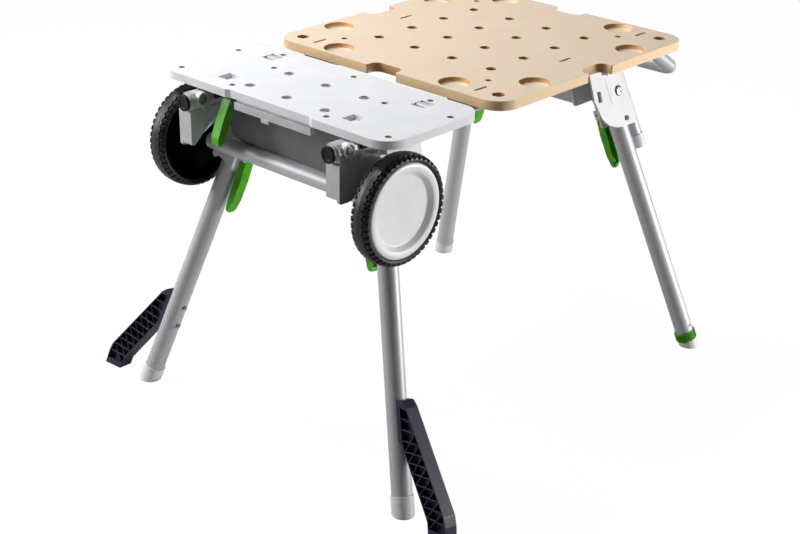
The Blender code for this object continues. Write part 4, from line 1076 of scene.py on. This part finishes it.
POWDER_WHITE = material("pale_powder_coat", (218, 218, 220), (212, 213, 215), rough=0.40, patch=24,
                        grain=1300, rise=0.00004, edge=(246, 246, 247))
reach = FORK_OUT + GAP
bolt_shape = eased([(0, -reach - 0.0035), (0.009, -reach - 0.0035), (0.009, -reach),
                    (0.005, -reach), (0.005, reach), (0.009, reach), (0.009, reach + 0.0030),
                    (0.0045, reach + 0.0035), (0.0042, reach + 0.0018), (0, reach + 0.0018)],
                   0.0008)
# a thin black ring round each hinge bolt's head is painted shadow, the dark gap round the head
shadow_ring_shape = [(0.0086, reach - 0.0002), (0.0106, reach - 0.0002), (0.0106, reach + 0.0007),
                (0.0086, reach + 0.0007)]
fork_screws = []
shadow_rings = []
for name, side, end in CORNERS:
    node = "leg_fork_" + name
    place = corner_frame(side, end) @ FORK
    casting = rounded_edges(routed(merged(node), plate_trim(place, side * end < 0)), 0.0009)
    piece(node + "_casting", casting, POWDER_WHITE, "frame", "cast_light_grey", node)
    # a low raised line on the outer plate, from its top round towards the leg
    bead = swept(place, BEAD, [0.006, 0.004], 6, 0.0006, 12, POWDER_WHITE)
    piece("fork_bead_" + name, bead, POWDER_WHITE, "frame", "cast_light_grey")
    node = "hinge_bolt_" + name
    piece(node + "_turned", turned(bolt_shape, 40, place @ ALONG_X), LOCAL_ZINC, body_of(node),
          "zinc_steel", node)
    shadow_rings.append(turned(shadow_ring_shape, 40, place @ ALONG_X))
    lean = corner_frame(side, end) @ LEG
    spot = lean @ Vector((FORK_OUT + 0.0010, -0.001, -0.060))
    fork_screws.append((spot, lean.to_3x3() @ Vector((1, 0, 0))))
# the black rings are painted shadow round the bolt heads
piece("hinge_washers", joined(*shadow_rings), LOCAL_BLACK, "frame", "black_plastic")
set_screws("fork_screws", fork_screws, DULL_ZINC, radius=0.0052, height=0.0028, socket=0.0026)


# Rear cross member: a grey sheet with folded edges that ties the two rear forks
# together.

PALE_SHEET = material("pale_coated_sheet", (186, 187, 189), (176, 177, 179), rough=0.44, patch=14,
                      grain=1400, rise=0.00003, metal=0.10, edge=(198, 199, 200))
piece("folded_cross_member", dressed("rear_cross_member", 0.0007), PALE_SHEET, "frame",
      "sheet_grey", "rear_cross_member")


# Parking feet: short aluminium tubes on the rear forks with grey caps, on which the
# folded stand rests together with its wheels.

STOP_BACK = 0.0285
PARK_R = 0.014
PARK_OUT = STOP_BACK + GAP + PARK_R
PARK_TOP = 0.046
WHEEL_R = 0.101

FOOT_GREY = material("foot_moulding", (226, 227, 229), (216, 217, 220), rough=0.5, patch=80,
                     grain=1800, rise=0.00004, spread=0.1, local=True)
lift = LEG.to_3x3() @ Vector((0, PARK_OUT, 0))
drop = LEG.to_3x3() @ Vector((0, 0, -1))
low = -(AXLE_Z - WHEEL_R - PIVOT_Z - lift.z) / drop.z
for hand, side in HANDS:
    place = corner_frame(side, 1) @ LEG @ Matrix.Translation((0, PARK_OUT, 0))
    shape = [(0.012, PARK_TOP), (PARK_R, PARK_TOP), (PARK_R, low + 0.012), (0.012, low + 0.012)]
    piece("parking_tube_" + hand, turned(shape, 40, place), ALUMINIUM, "frame", "satin_aluminium",
          "parking_foot_" + hand)
    shape = eased([(0, low), (0.0155, low), (0.0155, low + 0.028), (0.0143, low + 0.028),
                   (0.0143, low + 0.0117), (0, low + 0.0117)], 0.0016)
    piece("parking_cap_" + hand, turned(shape, 40, place), FOOT_GREY, "frame", "foot_grey",
          "parking_foot_cap_" + hand)


# Legs: satin aluminium tubes on their hinge bolts, with pale moulded caps cut level
# with the floor.

LEG_R = 0.0190
LEG_BORE_R = 0.0170
BELOW_FLOOR = -LEG_LEN - 0.012


def cut_level(mesh, place):
    # trims the foot of a leg piece to the floor, in the leg's own coordinates
    bm = bmesh.new()
    bm.from_mesh(mesh)
    bpy.data.meshes.remove(mesh)
    up = place.to_3x3().inverted() @ Vector((0, 0, 1))
    geometry = bm.verts[:] + bm.edges[:] + bm.faces[:]
    bmesh.ops.bisect_plane(bm, geom=geometry, plane_co=(0, 0, -LEG_LEN), plane_no=up,
                           clear_inner=True)
    bmesh.ops.holes_fill(bm, edges=[edge for edge in bm.edges if edge.is_boundary])
    bmesh.ops.recalc_face_normals(bm, faces=bm.faces)
    bm.transform(place)
    bmesh.ops.recalc_face_normals(bm, faces=bm.faces)
    return smooth(as_mesh(bm, "foot"))


for name, side, end in CORNERS:
    place = corner_frame(side, end) @ LEG
    body = body_of("leg_" + name)
    screw_foot = name == "rear_right"
    foot_end = LEG_LEN - (0.026 if screw_foot else 0.020)
    shape = [(LEG_BORE_R, -foot_end), (LEG_R, -foot_end), (LEG_R, 0.0132), (0.0182, 0.0140),
             (LEG_BORE_R, 0.0140)]
    piece("leg_tube_" + name, turned(shape, 48, place), ALUMINIUM, body, "satin_aluminium",
          "leg_" + name)
    if not screw_foot:
        shape = eased([(0, BELOW_FLOOR), (0.0210, BELOW_FLOOR), (0.0210, -LEG_LEN + 0.033),
                       (0.0193, -LEG_LEN + 0.033), (0.0193, -foot_end - GAP),
                       (0, -foot_end - GAP)], 0.0016)
        cap = cut_level(turned(shape, 48, Matrix.Identity(4)), place)
        piece("floor_cap_" + name, cap, FOOT_GREY, body, "foot_grey", "foot_cap_" + name)


# Screw foot: a green ribbed ring on the end of the rear right leg that turns and
# drives a pale pad up or down, to level the stand.

place = corner_frame(1, 1) @ LEG
low = -LEG_LEN + 0.016
shape = eased([(0.0107, low), (0.0213, low), (0.0213, low + 0.020), (0.0200, low + 0.020),
               (0.0200, low + 0.0097), (0.0107, low + 0.0097)], 0.0010)
rib = arcs([(-0.00075, 0.0205, 0), (0.00075, 0.0205, 0), (0.0005, 0.0224, 0.0004),
            (-0.0005, 0.0224, 0.0004)], 2)
rib = moved(plain_mesh(slab(rib, low + 0.002, low + 0.018)), ON_EDGE)
ribs = moved(made_by(RING, rib, count=40, finish=GREEN), place @ ON_EDGE.transposed())
ring = joined(turned(shape, 64, place), smooth(ribs))
piece("ribbed_foot_ring", ring, GREEN, body_of("foot_ring"), "green_plastic", "foot_ring")
shape = eased([(0, BELOW_FLOOR), (0.0200, BELOW_FLOOR), (0.0200, low - GAP),
               (0.0100, low - GAP), (0.0100, low + 0.0497), (0, low + 0.0497)], 0.0014)
pad = cut_level(turned(shape, 48, Matrix.Identity(4)), place)
piece("levelling_pad", pad, FOOT_GREY, body_of("foot_pad"), "foot_grey", "foot_pad")
spots = [(place @ Vector((0.0193, 0, low + 0.032)), place.to_3x3() @ Vector((1, 0, 0)))]
set_screws("foot_ring_screw", spots, ZINC, radius=0.0030, height=0.0022, socket=0.0016,
           body=body_of("leg_rear_right"))


# Lock levers: green moulded channels hung between the ears of each fork; a nose on
# each drops into the leg and holds it open.

LEVER_HALF_W = 0.011
LEVER_TIP = 0.168
TIP_R = 0.009
TIP_CLEAR = 0.003


def tip_corners(place, mirrored):
    # what comes off a lever's tip to round it across its width
    middle = LEVER_HALF_W - TIP_R
    beside = LEVER_HALF_W + TIP_CLEAR
    corners = []
    for s in (-1, 1):
        outline = [(s * beside, -LEVER_TIP - TIP_CLEAR), (s * middle, -LEVER_TIP - TIP_CLEAR)]
        for k in range(7):
            a = math.pi / 12 * k
            outline.append((s * (middle + TIP_R * math.sin(a)),
                            -LEVER_TIP + TIP_R - TIP_R * math.cos(a)))
        outline.append((s * beside, -LEVER_TIP + TIP_R))
        corners.append(slab(outline, -0.060, -0.010))
    return moved(plain_mesh(*corners), place @ ON_EDGE, mirrored)


for name, side, end in CORNERS:
    node = "lock_lever_" + name
    paddle = routed(merged(node), tip_corners(corner_frame(side, end) @ LEG, side * end < 0))
    piece(node + "_paddle", rounded_edges(paddle, 0.0010), GREEN, body_of(node),
          "green_plastic", node)


# Outriggers: dark blue black ribbed mouldings bolted to the outside of the front
# legs, which reach out to the floor and stop the stand tipping forwards.

OUT_T = 0.028
OUT_WALL = 0.0022
OUT_RIB = 0.0018
OUT_POCKET = 0.0105
OUT_BARS = 11
OUT_SCREWS = (0.408, 0.452)
OUT_BORE_R = 0.0033
RIB_SINK = 0.0005
ALONG_LEG = Matrix(((1, 0, 0, 0), (0, 0, 1, 0), (0, -1, 0, 0), (0, 0, 0, 1)))
# the outline as (out from the leg, down the leg, corner radius)
OUTLINE = [(0.029, 0.392, 0.004), (0.038, 0.404, 0.008), (0.114, 0.588, 0.020),
           (0.116, 0.606, 0.015), (0.113, 0.660, 0.002), (0.072, 0.660, 0.002),
           (0.073, 0.600, 0.015), (0.021, 0.470, 0.004), (0.01197, 0.464, 0.002),
           (0.01197, 0.392, 0.003)]
INNER_LINE = ((0.0198, 0.396), (0.0198, 0.467), (0.073, 0.600), (0.073, 0.616))
OUTER_LINE = ((0.038, 0.404), (0.114, 0.588), (0.116, 0.606), (0.115, 0.628))

NAVY = material("ribbed_navy_moulding", (46, 47, 66), (37, 38, 55), rough=0.44, patch=60,
                grain=1800, rise=0.00005, spread=0.1, edge=(84, 87, 104), gloss=0.3)


def along(line, share):
    # the point at a share of a broken line's length
    points = [Vector(p) for p in line]
    steps = [(points[i + 1] - points[i]).length for i in range(len(points) - 1)]
    left = share * sum(steps)
    for i in range(len(steps)):
        if left <= steps[i] or i == len(steps) - 1:
            return points[i] + (points[i + 1] - points[i]) * (left / steps[i])
        left -= steps[i]


def strip(one, two, low, high):
    # a thin rib between two points of the outline's plane
    half = (two - one).normalized().orthogonal() * (OUT_RIB / 2)
    return slab([one - half, two - half, two + half, one + half], low, high)


def outrigger(place, mirrored):
    # thin walls round a middle web, open to both faces, with a lattice of ribs in them
    near = []
    far = []
    for k in range(OUT_BARS + 1):
        share = 0.03 + 0.95 * k / OUT_BARS
        one = along(INNER_LINE, share)
        two = along(OUTER_LINE, share)
        across = (two - one).normalized() * OUT_WALL
        near.append(one + across)
        far.append(two - across)
    deep = OUT_T / 2 - OUT_POCKET
    bay = near + far[::-1]
    pockets = plain_mesh(slab(bay, deep, OUT_T), slab(bay, -OUT_T, -deep))
    body = routed(plain_mesh(slab(arcs(OUTLINE, 6), -OUT_T / 2, OUT_T / 2)), pockets)
    leg = plain_mesh(disc(LEG_R + GAP, 0, 0, -0.700, -0.300, 48))
    body = routed(moved(body, ALONG_LEG), leg)
    bores = []
    for height in OUT_SCREWS:
        bore = plain_mesh(disc(OUT_BORE_R, 0, 0, 0, 0.035, 16))
        bores.append(moved(bore, Matrix.Translation((0, 0, -height)) @ ALONG_X))
    body = cut_level(routed(body, joined(*bores)), place)
    ribs = []
    foot = deep - RIB_SINK
    top = OUT_T / 2 - RIB_SINK
    for low, high in ((foot, top), (-top, -foot)):
        for k in range(1, OUT_BARS):
            ribs.append(strip(near[k], far[k], low, high))
        for k in range(2, OUT_BARS - 1):
            ribs.append(strip(far[k], near[k + 2], low, high))
    lattice = moved(plain_mesh(*ribs), place @ ALONG_LEG, mirrored)
    return joined(rounded_edges(body, 0.0007), rounded_edges(lattice, 0.0004, 1))


for hand, side in HANDS:
    node = "outrigger_" + hand
    moulding = outrigger(corner_frame(side, -1) @ LEG, side > 0)
    piece(node + "_moulding", moulding, NAVY, body_of(node), "outrigger_navy", node)
    for height in ("upper", "lower"):
        node = "outrigger_bolt_" + height + "_" + hand
        piece(node + "_steel", dressed(node, 0.0004), ZINC, body_of(node), "zinc_steel", node)
